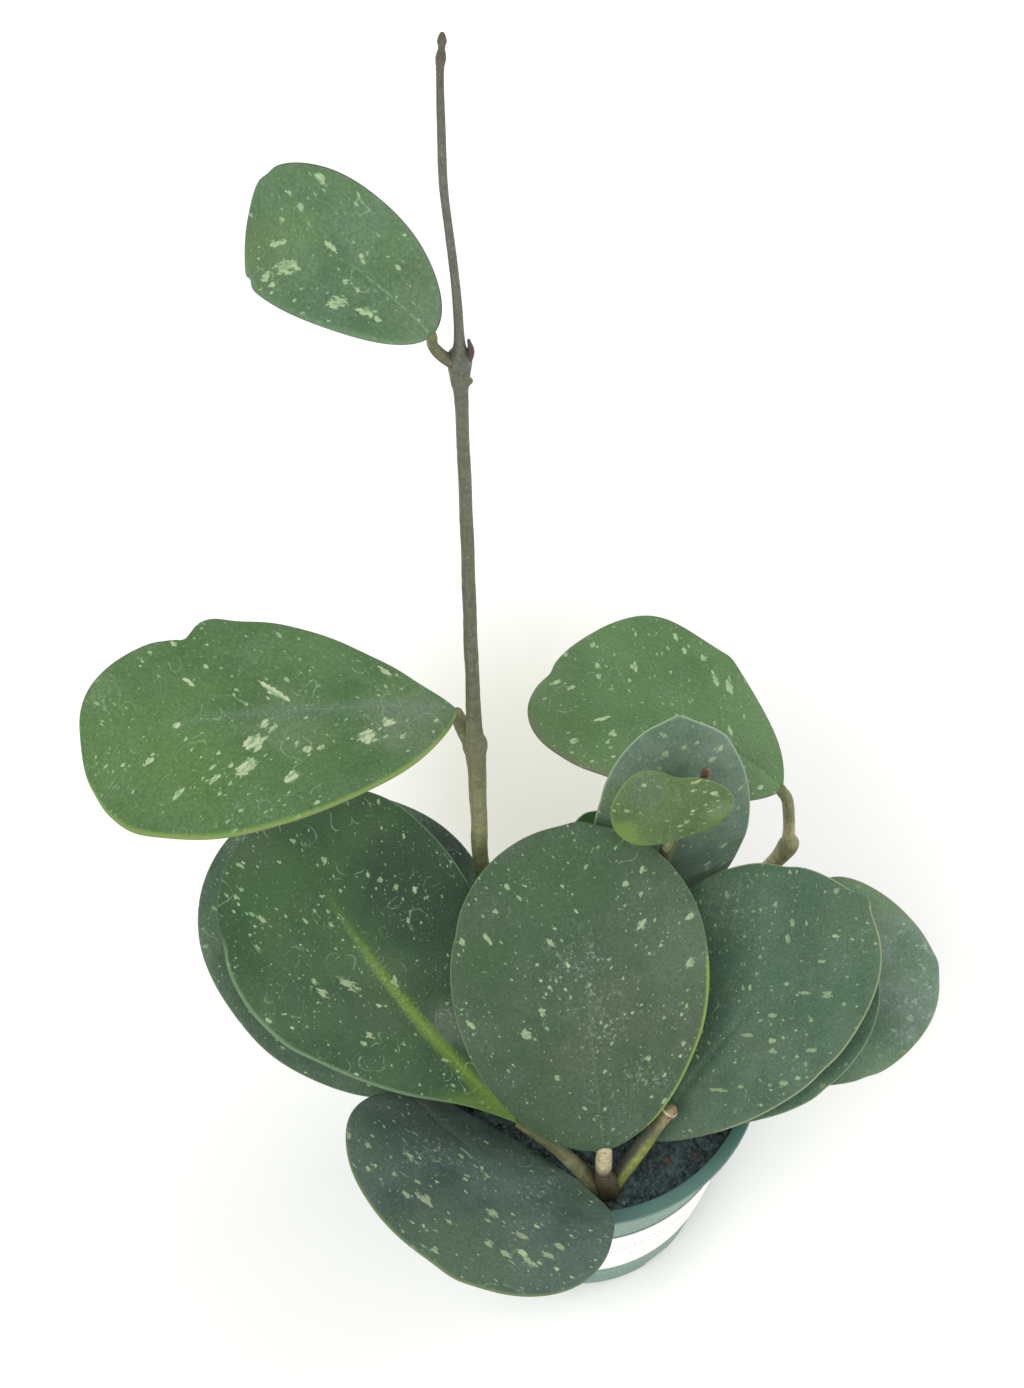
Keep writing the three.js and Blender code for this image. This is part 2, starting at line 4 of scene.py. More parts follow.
import bpy
import numpy as np
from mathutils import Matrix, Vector
from numpy import arange, array, broadcast_arrays, clip, concatenate, copysign, cos, linspace, minimum
from numpy import pi, radians, sin, sqrt, stack, vstack


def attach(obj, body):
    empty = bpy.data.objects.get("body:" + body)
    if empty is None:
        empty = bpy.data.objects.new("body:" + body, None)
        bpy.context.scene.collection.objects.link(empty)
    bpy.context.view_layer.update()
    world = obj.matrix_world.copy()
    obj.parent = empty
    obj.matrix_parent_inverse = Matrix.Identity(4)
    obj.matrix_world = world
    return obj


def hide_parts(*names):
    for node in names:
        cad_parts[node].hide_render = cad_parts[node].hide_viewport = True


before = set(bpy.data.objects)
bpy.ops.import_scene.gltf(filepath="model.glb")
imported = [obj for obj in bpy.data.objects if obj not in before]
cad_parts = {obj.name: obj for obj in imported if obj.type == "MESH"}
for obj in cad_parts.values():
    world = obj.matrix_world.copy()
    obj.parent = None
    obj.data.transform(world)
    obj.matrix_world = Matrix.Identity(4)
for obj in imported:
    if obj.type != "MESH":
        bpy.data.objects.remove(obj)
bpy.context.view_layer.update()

# A hoya with flecked round leaves in a teal nursery pot. Sizes are millimetres in the pot's
# frame: +Z up, -Y to the front, origin at the centre of the pot's underside. Every piece is
# a numpy surface that stands for the solid of the same place, so its sizes are the solid's.
MM = 0.001

# ---- leaves ----
# One row a leaf, in the order of WORDS. Colours are of 0 to 255.
# at: where blade and stalk meet. heading and rise: direction of the midrib at mid length.
# bend, sway: how it droops and turns on the way. roll, twist: tilt of the cross direction.
# curl: lift of the side edges. belly: below 1 moves the widest place towards the tip.
# base_shape, tip_shape: roundness of the ends. lean: how much wider the left half is.
# point: push of the tip. wave: height, count and start angle of the edge wave.
# notches: place along, side (+1 left), depth, spread. skin and deep are mixed in soft clouds.
# splash: colour of the marks. haze: a bloom and its strength. brown: strength of a cast.
# slant turns the flecks, in degrees, from the midrib towards the edge. flecks, loops: amount of
# them and of dried drops. torn, bold: raggedness and extra size of the marks. scratch: strength
# of fine dashes. sparks: 1 for bright dots by the rib. rib: colour, half width of its line and
# of its glow, strength, share of the length it reaches. rims, bands along the edge that are partly
# the leaf's own margin colour and partly painted light shining through the thin edge: side (+1
# left, 0 both), colour, width, strength, and the shares of the length between, if not all.
# patches, soft stains and, where another leaf shades this one, painted shade: place along and
# across, radius, colour, strength. scuffs, scuffed places in scuff_colour,
# and on leaf_right_lower a painted highlight, silver glints: place along and across, radius.
# marks, large pale splashes: place along and across, half length and width.
WORDS = """
    at length width heading rise bend sway roll twist curl belly base_shape tip_shape lean point wave
    notches slot skin deep splash haze brown slant flecks loops torn bold scratch sparks rib rims
    patches scuff_colour scuffs marks
""".split()
LEAVES = {
    "leaf_vine_top": (
        (-36.8, 24, 377.5), 53.2, 30, 139, -5, 41, 13, -39, -9, 5, 0.77, 0.78, 0.78, -0.03, 0,
        (0.3, 2.5, 20),
        "0.86 1 0.7 0.03, 0.9 -1 0.5 0.03", "leaf_bright", (84, 114, 76), (70, 100, 66), (162, 182, 138),
        ((104, 128, 106), 0.4), 0.1, 15, 0.8, 0.5, 2.8, 0.1, 0.4, 0, ((120, 150, 90), 0.3, 1, 0, 0.7),
        "0 84 78 72 0.3 0.8, 1 104 138 98 1.6 0.4",
        "38 -1.7 7 92 124 64 0.45, 46 3 9 92 118 70 0.4",
        (), "", """
        37.3 6.3 4.2 1.5, 20.1 7.5 2.4 1.6, 13.8 5.5 2.7 1.1, 42.2 2.4 2.6 1, 41.4 9.7 1.5 1.2,
        35.3 -12.6 1.4 1, 29.2 -1.4 2 0.7, 42.2 -7.7 1.1 0.9, 22.1 3.3 1 0.6, 18.4 2.8 0.8 0.7,
        43 -2.2 1 0.8, 38.4 10.6 0.9 0.8""",
    ),
    "leaf_vine_low": (
        (-35, 34, 222.5), 97.4, 59.4, -174, 1, 40, -9, -4, -30, 3, 0.81, 1.21, 0.8, 0.14, 0, (0.6, 2, 100),
        "0.702 -1 1.8 0.022, 0.735 -1 1.15 0.04, 0.635 -1 -1.75 0.055, 0.07 -1 0.9 0.05, "
        "0.97 1 0.8 0.02, 0.86 1 -0.9 0.06", "leaf_bright", (80, 112, 63), (68, 100, 57), (180, 192, 154),
        ((93, 120, 86), 0.35), 0.05, 40, 0.8, 0.9, 1.5, 0.14, 0.45, 0, ((98, 118, 100), 0.5, 3, 0.4, 0.9),
        "1 122 152 70 1.5 0.8, -1 98 88 76 0.35 0.8, 1 120 118 84 0.3 0.8",
        "14 6 15 110 126 102 0.5, 45 4 16 98 116 90 0.35, 84 2 34 84 118 60 0.4, 62 18 20 80 112 58 0.4",
        (158, 172, 158), "90 -9 5", """
        52.5 8.3 3 2.7, 54.6 15 3.6 2, 49.6 3.3 1.6 1, 47.8 4.9 1.8 0.7, 25 9.4 3 2.6, 19.2 5 2 1.9,
        44.1 19.6 2.3 1.7, 39.8 11.7 1.5 1.2, 36.5 11.6 1.1 0.9, 46.7 -5.7 5.4 1.2, 67.8 -10.3 2.2 0.8,
        71.6 0.5 1.2 1.1, 78.8 9.1 1.6 0.9, 71.6 19.3 2.4 0.9, 62.4 17 2.1 0.9, 17.6 -11.9 2.6 0.9,
        71.3 -21.5 1.5 0.8, 16.1 9.7 1.3 1, 6.7 4.4 1.1 0.7""",
    ),
    "leaf_left_upper": (
        (-19, -29, 103.5), 113, 79.8, 132, 26, 8, -26, -37, -21, 4, 0.53, 1.27, 0.84, -0.005, 0,
        (0.7, 2.5, 200),
        "0.78 1 0.9 0.03, 0.5 1 -0.7 0.05, 0.14 1 1.5 0.09", "leaf", (54, 87, 46), (42, 74, 41),
        (148, 162, 122), ((66, 90, 60), 0.2), 0.12, 30, 0.55, 1, 3.4, 0, 0.2, 1,
        ((102, 134, 44), 0.6, 2.6, 0.85, 0.84),
        "1 112 142 104 1.5 0.8 -1 0.75, 0 84 112 84 0.4 0.8, 0 96 128 52 8 0.6 -1 0.14",
        # The second and third of these patches, dark ones on the right half, are painted shade from the
        # front leaf.
        "35 -7 9 118 128 112 0.5, 72 -26 30 32 56 38 0.85, 46 -16 20 34 60 38 0.6, 107 14 12 66 84 62 0.5",
        (158, 172, 158), "39 -8 6", """
        61.1 9.7 4.2 1.5, 63.4 17.6 2.5 1.2, 66.7 18 1.6 0.8, 54.6 -1.7 1.9 1.2, 99.1 23.7 1.2 1,
        97.7 26.7 1.2 1, 93.6 -4.9 1.3 1, 83.8 -14.6 1.4 0.9, 80.4 -17 1.1 0.9, 76.1 -19.4 1.1 0.7,
        89 22 2.4 0.8, 82.2 10.2 1.6 0.7, 77.4 4.1 1.1 0.9, 82.9 27.7 2 0.7, 46.6 14 1.2 1.1,
        102.7 0.5 1.4 1, 99.9 8.1 1 0.7, 104.9 20.8 1.7 0.9, 28 1.8 1.6 0.5""",
    ),
    "leaf_left_under": (
        (-40, -11, 91.5), 98, 89, 122, 16, 10, -6, 7, 19, -1.5, 0.78, 0.8, 1.14, 0, 1.5, (0.5, 2, 60),
        "0.34 1 -1.1 0.13", "leaf_dark", (82, 106, 80), (66, 91, 70), (138, 154, 116),
        ((99, 117, 99), 0.35), 0.15, 35, 0.7, 0.4, 2.4, 0, 0.2, 0, ((90, 116, 88), 0.5, 2, 0.3, 0.6),
        "0 92 116 84 0.4 0.7",
        # This dark spot on the right half is painted shade under the upper left leaf.
        "62 -38 18 38 58 48 0.9",
        (), "", "75.2 34.5 1.3 0.9, 67.1 41.8 1 0.8, 60 -22 2 1, 40 20 1.6 1.2",
    ),
    "leaf_front": (
        (5, -35, 99.5), 96, 72, 97, 44, 22, -10, 1, 8, 3.5, 0.79, 0.91, 0.98, 0.05, 0.8, (0.4, 3, 0),
        "0.72 1 0.5 0.03", "leaf", (68, 90, 66), (60, 84, 58), (154, 170, 130), ((82, 97, 80), 0.45), 0.22,
        40, 0.8, 0.15, 2, 0, 0.2, 0, ((98, 114, 90), 0.25, 1, 0.12, 0.85),
        "0 104 132 92 0.35 0.6, -1 134 160 66 1.1 0.8 0.1 0.55",
        "82 8 26 58 90 54 0.6, 58 -28 18 82 103 80 0.75, 62 28 14 58 88 54 0.5, 60 0 16 60 82 60 0.45",
        (158, 172, 158), "60 2 12, 42 -4 12, 24 -14 10", """
        82.6 -17.4 1.5 1.3, 78.9 -12.4 1.4 1.2, 67.3 26.5 2.4 1.2, 64.4 9.3 2.2 1.1, 67.3 -16.2 2.4 1.2,
        55 -29.1 2.3 1.4, 68.6 -29.6 2 1.2, 45.5 13.2 1.9 1.1, 39.5 18.1 2.1 1.5, 44.8 33.1 2 1.1,
        26 10.9 1.6 1.1, 27.7 -15 1.2 1.1, 67 33.5 1.5 1.2, 77 17.1 1.3 0.9, 74.2 23.8 1.1 0.9,
        60.5 -21 1.3 0.7, 42.7 -26.9 1.2 0.7, 48.3 5 1 0.7""",
    ),
    "leaf_rim_front": (
        (-51, -17, 99), 75, 54, -36, 3, 42, 44, -33, 6, -5.8, 0.89, 0.56, 0.81, -0.31, 0.3, (0.3, 2, 40),
        "0.93 1 1.2 0.07, 0.62 -1 -0.6 0.05, 0.3 1 -1.2 0.2", "leaf_dark", (70, 90, 77), (58, 77, 68),
        (144, 154, 122), ((92, 107, 98), 0.45), 0.1, 5, 0.8, 0.1, 2.2, 0, 0.8, 0,
        ((86, 104, 90), 0.3, 1.5, 0.1, 0.6),
        "-1 104 122 78 0.5 0.8, 1 70 90 72 0.3 0.7",
        # The second of these patches, dark and by the base, is painted shade under the upper left leaf and
        # its stalk.
        "44 -34 20 72 96 66 0.5, 18 -4 20 50 66 62 0.5, 44 -4 16 84 104 94 0.4",
        (158, 172, 158), "24 -10 9, 52 -2 8", """
        22.1 -16.5 2 1.2, 32.1 -23.2 3 1.3, 29 -25.6 1.7 0.9, 45.7 -15.2 1.9 1.5, 53.9 -16.8 2 1.1,
        62.5 -14.6 2.2 1.2, 57.8 -22.6 2.4 1.3, 60.8 -18.4 1.7 1.1, 52.6 -23.9 1.7 0.9, 48.9 -23.7 1.5 1.1,
        40.9 -32.7 1.2 0.9, 10.1 -25.5 1.4 1, 14.3 -23.1 1 0.9, 18.7 -25.7 1.1 0.6, 39.5 -24.4 1.3 0.7,
        35.2 -9.6 1 0.7, 30 -3 3.4 0.35, 38 -5 3 0.3""",
    ),
    "leaf_right_upper": (
        (19, -27, 87.5), 93, 66, 42, 30, 26, -13, -3, -9, 4.3, 0.71, 1.11, 1.06, 0.11, 2.2, (0.6, 2.5, 150),
        "0.9 1 1.2 0.03, 0.55 -1 0.5 0.05", "leaf", (80, 108, 83), (69, 98, 76), (142, 162, 124),
        ((95, 115, 100), 0.4), 0.2, 48, 0.8, 0.1, 2, 0, 0.15, 0, ((92, 118, 96), 0.3, 1.5, 0.12, 0.7),
        "-1 156 174 130 0.6 0.9 0.2 2, 1 96 120 90 0.35 0.6, 1 148 168 128 0.5 0.9 0.8 2, "
        "0 186 190 124 0.9 0.9 0.985 2, -1 96 108 84 3 0.35",
        # The first of these patches, dark and on the left half, is painted shade beside the front leaf.
        "34 12 20 62 84 66 0.5, 86 -4 16 80 106 76 0.4",
        (158, 172, 158), "66 24 12", """
        67 27.6 1.7 1.1, 70.4 6 1.9 1.3, 67.6 -14.3 2 1.7, 74.6 8.8 1.6 1, 53.2 -21.9 2.7 0.9,
        43.2 -4.8 2.3 0.8, 49.2 -23.3 1.1 1, 40.5 -22.2 2.1 1.3, 25.8 -8.4 3.2 1, 59.5 -15.9 1.1 0.9,
        63.2 -8.7 2.3 0.6, 69 -19.9 0.9 0.8, 44.9 -13.8 1.9 0.7, 73 -5.7 1.8 0.7, 89.8 7.4 1.2 1,
        74.8 16 1 0.9""",
    ),
    "leaf_right_middle": (
        (28, -22, 86.5), 76, 63, 41, 24, 2, -22, -14, -7, 2, 0.71, 1.06, 0.88, 0.01, 1, (0.4, 2, 10),
        "0.5 -1 0.6 0.05", "leaf", (95, 121, 99), (82, 111, 92), (140, 158, 126), ((114, 135, 121), 0.35),
        0.12, 40, 0.7, 0.2, 2.4, 0, 0.2, 0, ((92, 118, 98), 0.3, 1.5, 0.2, 0.7),
        "0 120 144 104 0.4 0.7",
        "",
        (), "", "37.5 -28.3 1.6 1.3, 50 12 2 1.2, 30 8 1.8 1",
    ),
    "leaf_right_lower": (
        (42, 12, 91.5), 64, 67, 10, 9, 8, -4, 1, -15, 2.2, 1, 0.88, 1.01, 0.04, 0.5, (0.6, 2.5, 80),
        "0.6 1 0.7 0.05, 0.55 -1 0.4 0.04", "leaf", (104, 130, 106), (88, 117, 94), (140, 158, 134),
        ((136, 151, 142), 0.5), 0.1, 40, 0.7, 0.2, 2, 0, 0.3, 0, ((104, 134, 106), 0.3, 2, 0.2, 0.7),
        "0 128 128 104 0.4 0.7, 0 112 132 92 3 0.35",
        "50 24 14 110 136 98 0.6, 37 -27 12 116 141 118 0.6, 52 -13 12 112 126 118 0.4",
        # The whitish scuffed places listed here are a painted highlight: silver glints.
        (198, 208, 204), "62 5.7 5, 56.3 -17.5 6, 52 -10.9 6, 60 -7 5, 48 -24 6", """
        47.3 28.4 0.8 0.7, 51.8 -17.4 1.5 1.1, 61.7 6.2 1.6 0.8, 59.1 -0.3 1.5 0.9, 56 -5.3 1.4 0.8,
        54.6 -12.4 1.4 0.8, 46.4 -19.7 1.3 0.8, 48.9 -4.8 1.1 0.7, 46.2 -9.4 1.3 0.7, 56 11.8 1 0.6,
        30 6 1.8 1""",
    ),
    "leaf_back_right": (
        (56, 54, 149.5), 79, 58, 152, 4, 54, 0, 2, 9, 2.8, 0.61, 0.82, 0.9, 0, -1.3, (0.6, 3, 30),
        "0.96 -1 1 0.05, 0.4 -1 -0.6 0.04, 0.66 1 -1.4 0.08", "leaf_bright", (89, 122, 74), (79, 111, 66),
        (170, 190, 148), ((98, 126, 95), 0.3), 0.15, 48, 0.85, 0.5, 1.8, 0.14, 0.4, 0,
        ((104, 134, 88), 0.3, 2, 0.15, 0.7),
        "0 96 94 72 0.35 0.8, 1 104 104 80 3 0.4 0.6 2",
        "30 8 18 94 126 86 0.4, 60 18 16 78 108 62 0.5",
        (), "", """
        54.8 -10.3 1.9 1.1, 73.6 3.2 2.5 1.1, 54.3 10.9 3.2 0.7, 32.5 -17 2.7 0.8, 28 -17.4 3.1 1.1,
        21.7 -5.1 1.8 0.7, 48.6 -24.5 1.5 0.8, 44.4 -21.5 1.2 0.9, 38.4 -21.7 1.2 1.1, 57.4 22.1 1.7 1.2,
        49.6 14.2 1.3 1.2, 62.6 -3 1.3 0.8, 67.9 3.5 1.2 0.7, 64.8 -6.6 1.4 0.9, 70.5 -13.9 1.5 1,
        6.3 4.6 1.3 0.6""",
    ),
    "leaf_back_upright": (
        (24, 38, 100.5), 96, 46, 95, 84, 19, -11, 8, -7, -0.7, 1.02, 0.8, 0.92, 0, 1.8, (0.4, 2, 70),
        "0.7 1 0.5 0.05, 0.95 -1 -1.2 0.06", "leaf_dark", (110, 132, 112), (99, 123, 103), (164, 186, 148),
        ((134, 151, 138), 0.4), 0.08, 35, 1.35, 0.1, 2, 0.14, 0.6, 0, ((108, 128, 112), 0.3, 1.5, 0.2, 0.7),
        "0 150 172 138 0.45 0.8",
        # The first of these patches darkens the low part: painted shade under the young and front leaves.
        "30 0 26 74 96 82 0.7, 68 16 14 88 114 80 0.75",
        (184, 196, 190), "79 6 7, 68 9 8, 84 10 6", """
        84.7 -11.5 1.9 1.3, 80.8 -9.9 1.6 0.9, 87.1 -1.9 1.4 0.8, 37.7 -16 1.9 1, 29.8 -11.6 2.1 0.9,
        91.5 4 1.6 0.8, 88.2 -5.3 1 0.7, 85 3 1.3 0.6, 66 -19 1.2 0.7""",
    ),
    "leaf_young": (
        (21, 24.6, 171.3), 24.6, 34, 75, 72, 25, -13, 23, -2, -0.8, 0.95, 0.88, 0.55, -0.03, -1.2,
        (0.4, 1.5, 0),
        "0.97 1 -0.6 0.06, 0.98 -1 0.8 0.05", "leaf_young", (87, 113, 60), (77, 103, 56), (150, 166, 120),
        ((101, 120, 84), 0.35), 0.12, 82, 0.9, 0, 2, 0, 0.7, 0, ((100, 124, 72), 0.3, 1, 0.1, 0.7),
        "0 118 138 90 0.4 0.5, 0 102 130 54 5 0.55 -1 0.35",
        "5 12 6 112 136 54 0.6, 19 8 8 88 104 82 0.7, 12 -15 8 116 136 96 0.65, 12 -3 8 74 102 60 0.5",
        (), "", "9 -4.6 1.3 1.1, 23.7 -4.9 1.7 0.6, 20.9 -4.9 1.5 0.5, 12.2 -10.6 1 0.7",
    ),
    "leaf_hidden": (
        (11, 38, 114.5), 27, 24, 123, 43, 9, 1, -3, 1, 1.6, 0.82, 0.87, 0.85, 0, 0.8, (0.2, 2, 0),
        "", "leaf_bright", (84, 124, 72), (70, 108, 62), (150, 170, 124), ((100, 130, 96), 0.2), 0.1, 35,
        0.6, 0.2, 2.4, 0, 0.2, 0, ((104, 140, 84), 0.3, 1.5, 0.4, 0.7),
        "0 120 146 90 0.35 0.6",
        "",
        (), "", "",
    ),
}
BLADE_CORE = 2.2
BLADE_EDGE = 0.8
BLADE_SLIMMER = 0.1
EDGE_ROUNDNESS = 0.4
ENDS_THINNED = 0.12
TIP_REACH = 3.5
BLADE_ROWS = 108
BLADE_COLUMNS = 128
MIDRIB_STEPS = 400
UP = array([0, 0, 1])
TINTS = Named(
    cream=(163, 182, 142), pale_green=(124, 155, 112), cast=(96, 98, 76), spark=(140, 162, 76),
    grit=(146, 162, 148), dash=(140, 160, 144), drop=(150, 178, 142), under_pale=(112, 136, 92),
    under_deep=(96, 124, 84), under_rib=(150, 166, 108),
)
# Keeps the flecks of the two halves of a blade apart.
SIDE_STEP = 40.0


def numbers_of(text):
    """Rows of numbers from a text, with a comma between rows."""
    return [tuple(map(float, row.split())) for row in text.split(",") if row]


def limb(points, tones, flank=None, end="dome", rings=0.02, lines=0):
    """A limb of a stem. Its points are x, y, z and radius along its middle. tones are bark
    colours spread evenly from its foot to its end, and flank those of its lower right side.
    rings is the depth of the creases round it, lines how lined its bark is, end its shape."""
    rows = numbers_of(points)
    return Named(points=rows, tones=tones, flank=flank or tones, end=end, rings=rings, lines=lines)


# ---- stems ----
BARK = dict(
    brown=(84, 76, 56), olive=(100, 102, 66), straw=(128, 129, 89), khaki=(112, 111, 78),
    moss=(90, 96, 70), ash=(92, 96, 74), slate=(93, 96, 82), purple=(78, 70, 64),
    plum=(70, 56, 58), red=(90, 58, 54), rose=(122, 90, 78), green=(106, 112, 62),
    lime=(136, 146, 70), beige=(190, 180, 140), tan=(150, 132, 98), dark=(62, 55, 48),
    dusk=(68, 73, 56),
)
STEMS = {
    "stem_vine": (
        limb(
            "-16 23 66.5 2.3, -18.5 25 94.5 2.3, -24 28 124.5 2.3, -29.3 30 145.5 2.3, -30 31 177.5 2.3, "
            "-30.3 30.5 204.5 2.6, -30.5 30 212.5 3.2, -30.7 30 218.5 2.3, -30.7 30 233.5 1.85, "
            "-31 31 260.5 1.7, -31.2 31 302.5 1.55, -31.6 30 347.5 1.45, -31.7 30 356.5 2, "
            "-31.7 30 363.5 2.65, -31.7 30 368.5 1.2, -32 30 383.5 0.95, -33.1 30 400.5 0.85, "
            "-33.9 30 414.5 0.85, -33.9 30 430.5 0.8, -33.8 30 440.5 0.7, -33.6 30 444 0.95, "
            "-33.4 30 446.3 0.62, -33.3 30 448.1 0.85, -33.2 30 449.5 0.5",
            "straw straw straw straw straw khaki moss ash ash ash ash slate slate slate brown",
        ),
        limb("-30.5 30 210.5 2.3, -32.6 31 216 2.2, -35.3 33.8 222 1.8", "purple olive olive"),
        limb(
            "-31.8 30 361.5 1.6, -35.1 28.7 365.8 1.3, -36.9 26.8 371.2 1.15, -36.9 24 377.3 1.1",
            "purple olive olive",
        ),
        limb("-30.8 29.8 362 1.2, -29.4 29.6 366 0.8, -29.8 29.6 369.8 0.3", "purple plum plum"),
        limb("-30.8 29.6 356 0.9, -29.7 29.2 357.6 0.7", "olive green"),
    ),
    "stem_crown": (
        limb(
            "6 -39 66.5 2.3, 8 -38 79.5 2.5, 21.4 -26.5 101.8 2.3, 23.2 -25 104.5 2.9",
            "dark dusk dusk dusk dusk dusk olive", flank="brown olive lime lime lime green tan", end="cut",
        ),
        limb(
            "4 -39.5 66.5 2, 1.5 -39 84.5 2.4, -7.4 -33.6 95.9 2, -19.2 -28.9 103.6 1.1",
            "plum dusk olive khaki olive green",
        ),
        limb(
            "5 -39 66.5 2.3, 5 -39 86.5 2.4, 5 -35 99.2 2.2",
            "dark brown brown brown brown brown brown brown dark beige beige beige", rings=0.1, lines=1,
        ),
        limb("7 -38 66.5 1.8, 12 -32.2 80.5 1.8, 19.1 -27 87.4 1.6", "brown olive olive"),
        limb(
            "6.7 -38 66.5 3.6, 6.7 -38 79 4, 6.4 -38.2 84.5 3.2, 6 -38.4 87.5 2.2",
            "dark brown brown brown",
        ),
    ),
    "stem_right": (
        limb(
            "20 27 66.5 2.3, 22 29 82.5 2.3, 28 35 94.5 2.3, 47 47 100.5 2.3, 57.2 52 110 2.4, "
            "60.8 53.3 118 3, 60.5 54 122.5 2, 59.7 54.2 132.5 1.75, 58 54 143.5 1.7, 55.6 54.2 149 1.7",
            "olive olive straw straw beige beige beige beige beige beige straw beige straw straw olive",
        ),
        limb("22 29 82.5 1.9, 23.5 33 91.5 1.8, 24 37.9 100.4 1.8", "straw olive"),
    ),
    "stem_centre": (
        limb(
            "8 16 66.5 2.2, 10 20 102.5 2.1, 15 25 134.5 2, 21.4 30.6 152.5 1.9, 24.2 34 163.5 2, "
            "28.6 37 175.5 1.1, 30.8 38.8 181.5 0.9, 31.4 39.2 183.4 1.3, 31.6 39.2 185 0.8",
            "olive straw straw straw straw straw straw khaki khaki olive olive olive red rose",
        ),
        limb("24 33.5 162.5 1.5, 22 28 165.5 1.4, 21.2 25 167.5 1.3, 21 24.6 171.1 1.2", "olive khaki"),
        limb(
            "9.4 18.8 94.5 1.6, 7 25 100.5 1.3, 6.2 32 104 1.2, 7.8 37 109.5 1.1, 10.8 38 114.3 1",
            "straw green",
        ),
    ),
    "stem_left_under": (
        limb("-28 -10 66.5 1.9, -33 -13 84.5 1.9, -39.8 -11.3 91.3 1.7", "brown olive"),
    ),
    "stem_rim_front": (
        limb(
            "-10 -2 66.5 1.9, -13 0 90.5 1.9, -24 3 104.5 1.8, -38 3 107.5 1.7, -47.5 -6 103.5 1.7, "
            "-51 -16.8 99.1 1.7",
            "brown olive olive",
        ),
    ),
    "stem_right_middle": (
        limb("19 -14 66.5 1.7, 20 -19 78.5 1.7, 23.5 -23.3 83.7 1.6, 27.9 -22.2 86.4 1.5", "brown olive"),
    ),
    "stem_right_lower": (
        limb("31 4 66.5 1.8, 34 8 83.5 1.8, 41.8 12 91.4 1.6", "brown olive"),
    ),
}
CUT_TONES = "beige beige tan tan plum brown"
FLANK_SIDE = array((0.8, -0.57, -0.18))
FLANK_SLOPE = 2.4
FLANK_START = 0.3
STEM_SIDES = 28
STEM_STEP = 0.7

# ---- pot, label, soil and camera ----
POT = Named(
    height=87.5, rim=52.5, lip_width=3.9, lip_thick=2.2, base=39.6, shoulder=49.8, wall=1.4,
    floor=1.8, drains=8, drain_start=38.5, drain_width=9, drain_height=4, drain_depth=7,
)
POT_SIDES = 240
LABEL = Named(low=19.5, high=59.5, start=-150, stop=-4, thick=0.6, columns=150)
SOIL_LEVEL = 77.5
SOIL_RELIEF = 1.1
SOIL_SIDES = 170
GAP = 0.3
# Grains are copies of a ball of 18 corners.
LUMP = numbers_of(
    "1 0 0, -1 0 0, 0 1 0, 0 -1 0, 0 0 1, 0 0 -1, 1 1 0, 1 -1 0, -1 1 0, -1 -1 0, 1 0 1, 1 0 -1,"
    "-1 0 1, -1 0 -1, 0 1 1, 0 1 -1, 0 -1 1, 0 -1 -1"
)
CLEAR_OF_STEMS = 3.4
GRAIN_SUNK = 0.25
LIES_LEVEL = 0.7

CAMERA = Named(place=(-21, -294, 739.5), tilt=32.8, lens=62.25, film=36)
# A painted shadow on the floor, soft and warm, behind the pot: its colour, centre and where it starts and
# ends.
FLOOR_WHITE = (254, 253, 251)
FLOOR_SHADOW = Named(colour=(231, 231, 219), centre=(-12, 150, 0), start=15, end=88)


# ---- meshes ----
def added(name, data):
    """An object with that name and data, put in the scene."""
    thing = bpy.data.objects.new(name, data)
    bpy.context.scene.collection.objects.link(thing)
    return thing


def piece(name, corners, faces, material, stands_for=(), layers=None, sharp=None):
    """A mesh object from corners in millimetres and a list of face arrays. It rides on the root
    body and stands for the CAD nodes named. layers are named values at the corners."""
    mesh = bpy.data.meshes.new(name)
    faces = turned_out(corners, faces)
    mesh.from_pydata((corners * MM).tolist(), [], [f for group in faces for f in group.tolist()])
    mesh.polygons.foreach_set("use_smooth", np.ones(len(mesh.polygons), dtype=bool))
    for layer, values in (layers or {}).items():
        kind, field = ("FLOAT_VECTOR", "vector") if values.ndim == 2 else ("FLOAT", "value")
        mesh.attributes.new(layer, kind, "POINT").data.foreach_set(field, values.ravel())
    if sharp:
        mesh.set_sharp_from_angle(angle=radians(sharp))
    mesh.materials.append(material)
    mesh.update()
    thing = added(name, mesh)
    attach(thing, "root")
    if stands_for:
        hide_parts(*stands_for)
    return thing


def turned_out(corners, faces):
    """The same faces, all reversed if their signed volume, the sum of a . (b x c) over the
    triangles of each face's fan, is negative."""
    volume = 0
    for group in faces:
        for k in range(1, group.shape[1] - 1):
            a, b, c = (corners[group[:, i]] for i in (0, k, k + 1))
            volume += np.einsum("ij,ij", a, np.cross(b, c))
    return faces if volume > 0 else [group[:, ::-1] for group in faces]


def skin(rings, start, end):
    """Corners and faces of a closed skin over rings of points, rows x columns x 3. Each row wraps
    round, rows are joined by quads, and a fan to one point shuts each end."""
    rows, columns = rings.shape[:2]
    corners = concatenate([rings.reshape(-1, 3), [start], [end]])
    here = arange(columns)
    after = (here + 1) % columns
    row = arange(rows - 1)[:, None] * columns
    quads = stack([row + here, row + after, row + after + columns, row + here + columns], -1)
    first = np.full(columns, rows * columns)
    tail = (rows - 1) * columns
    fans = [stack([after, here, first], -1), stack([tail + here, tail + after, first + 1], -1)]
    return corners, [quads.reshape(-1, 4), concatenate(fans)]


def with_ends(values):
    """Values on a skin's rings, then one for each end, taken from the first and the last ring."""
    return concatenate([values.reshape(-1, 3), values[0, :1], values[-1, :1]])


def round_z(radius, turn, height):
    """Points at a radius, an angle round Z and a height."""
    return stack(broadcast_arrays(radius * cos(turn), radius * sin(turn), height), -1)


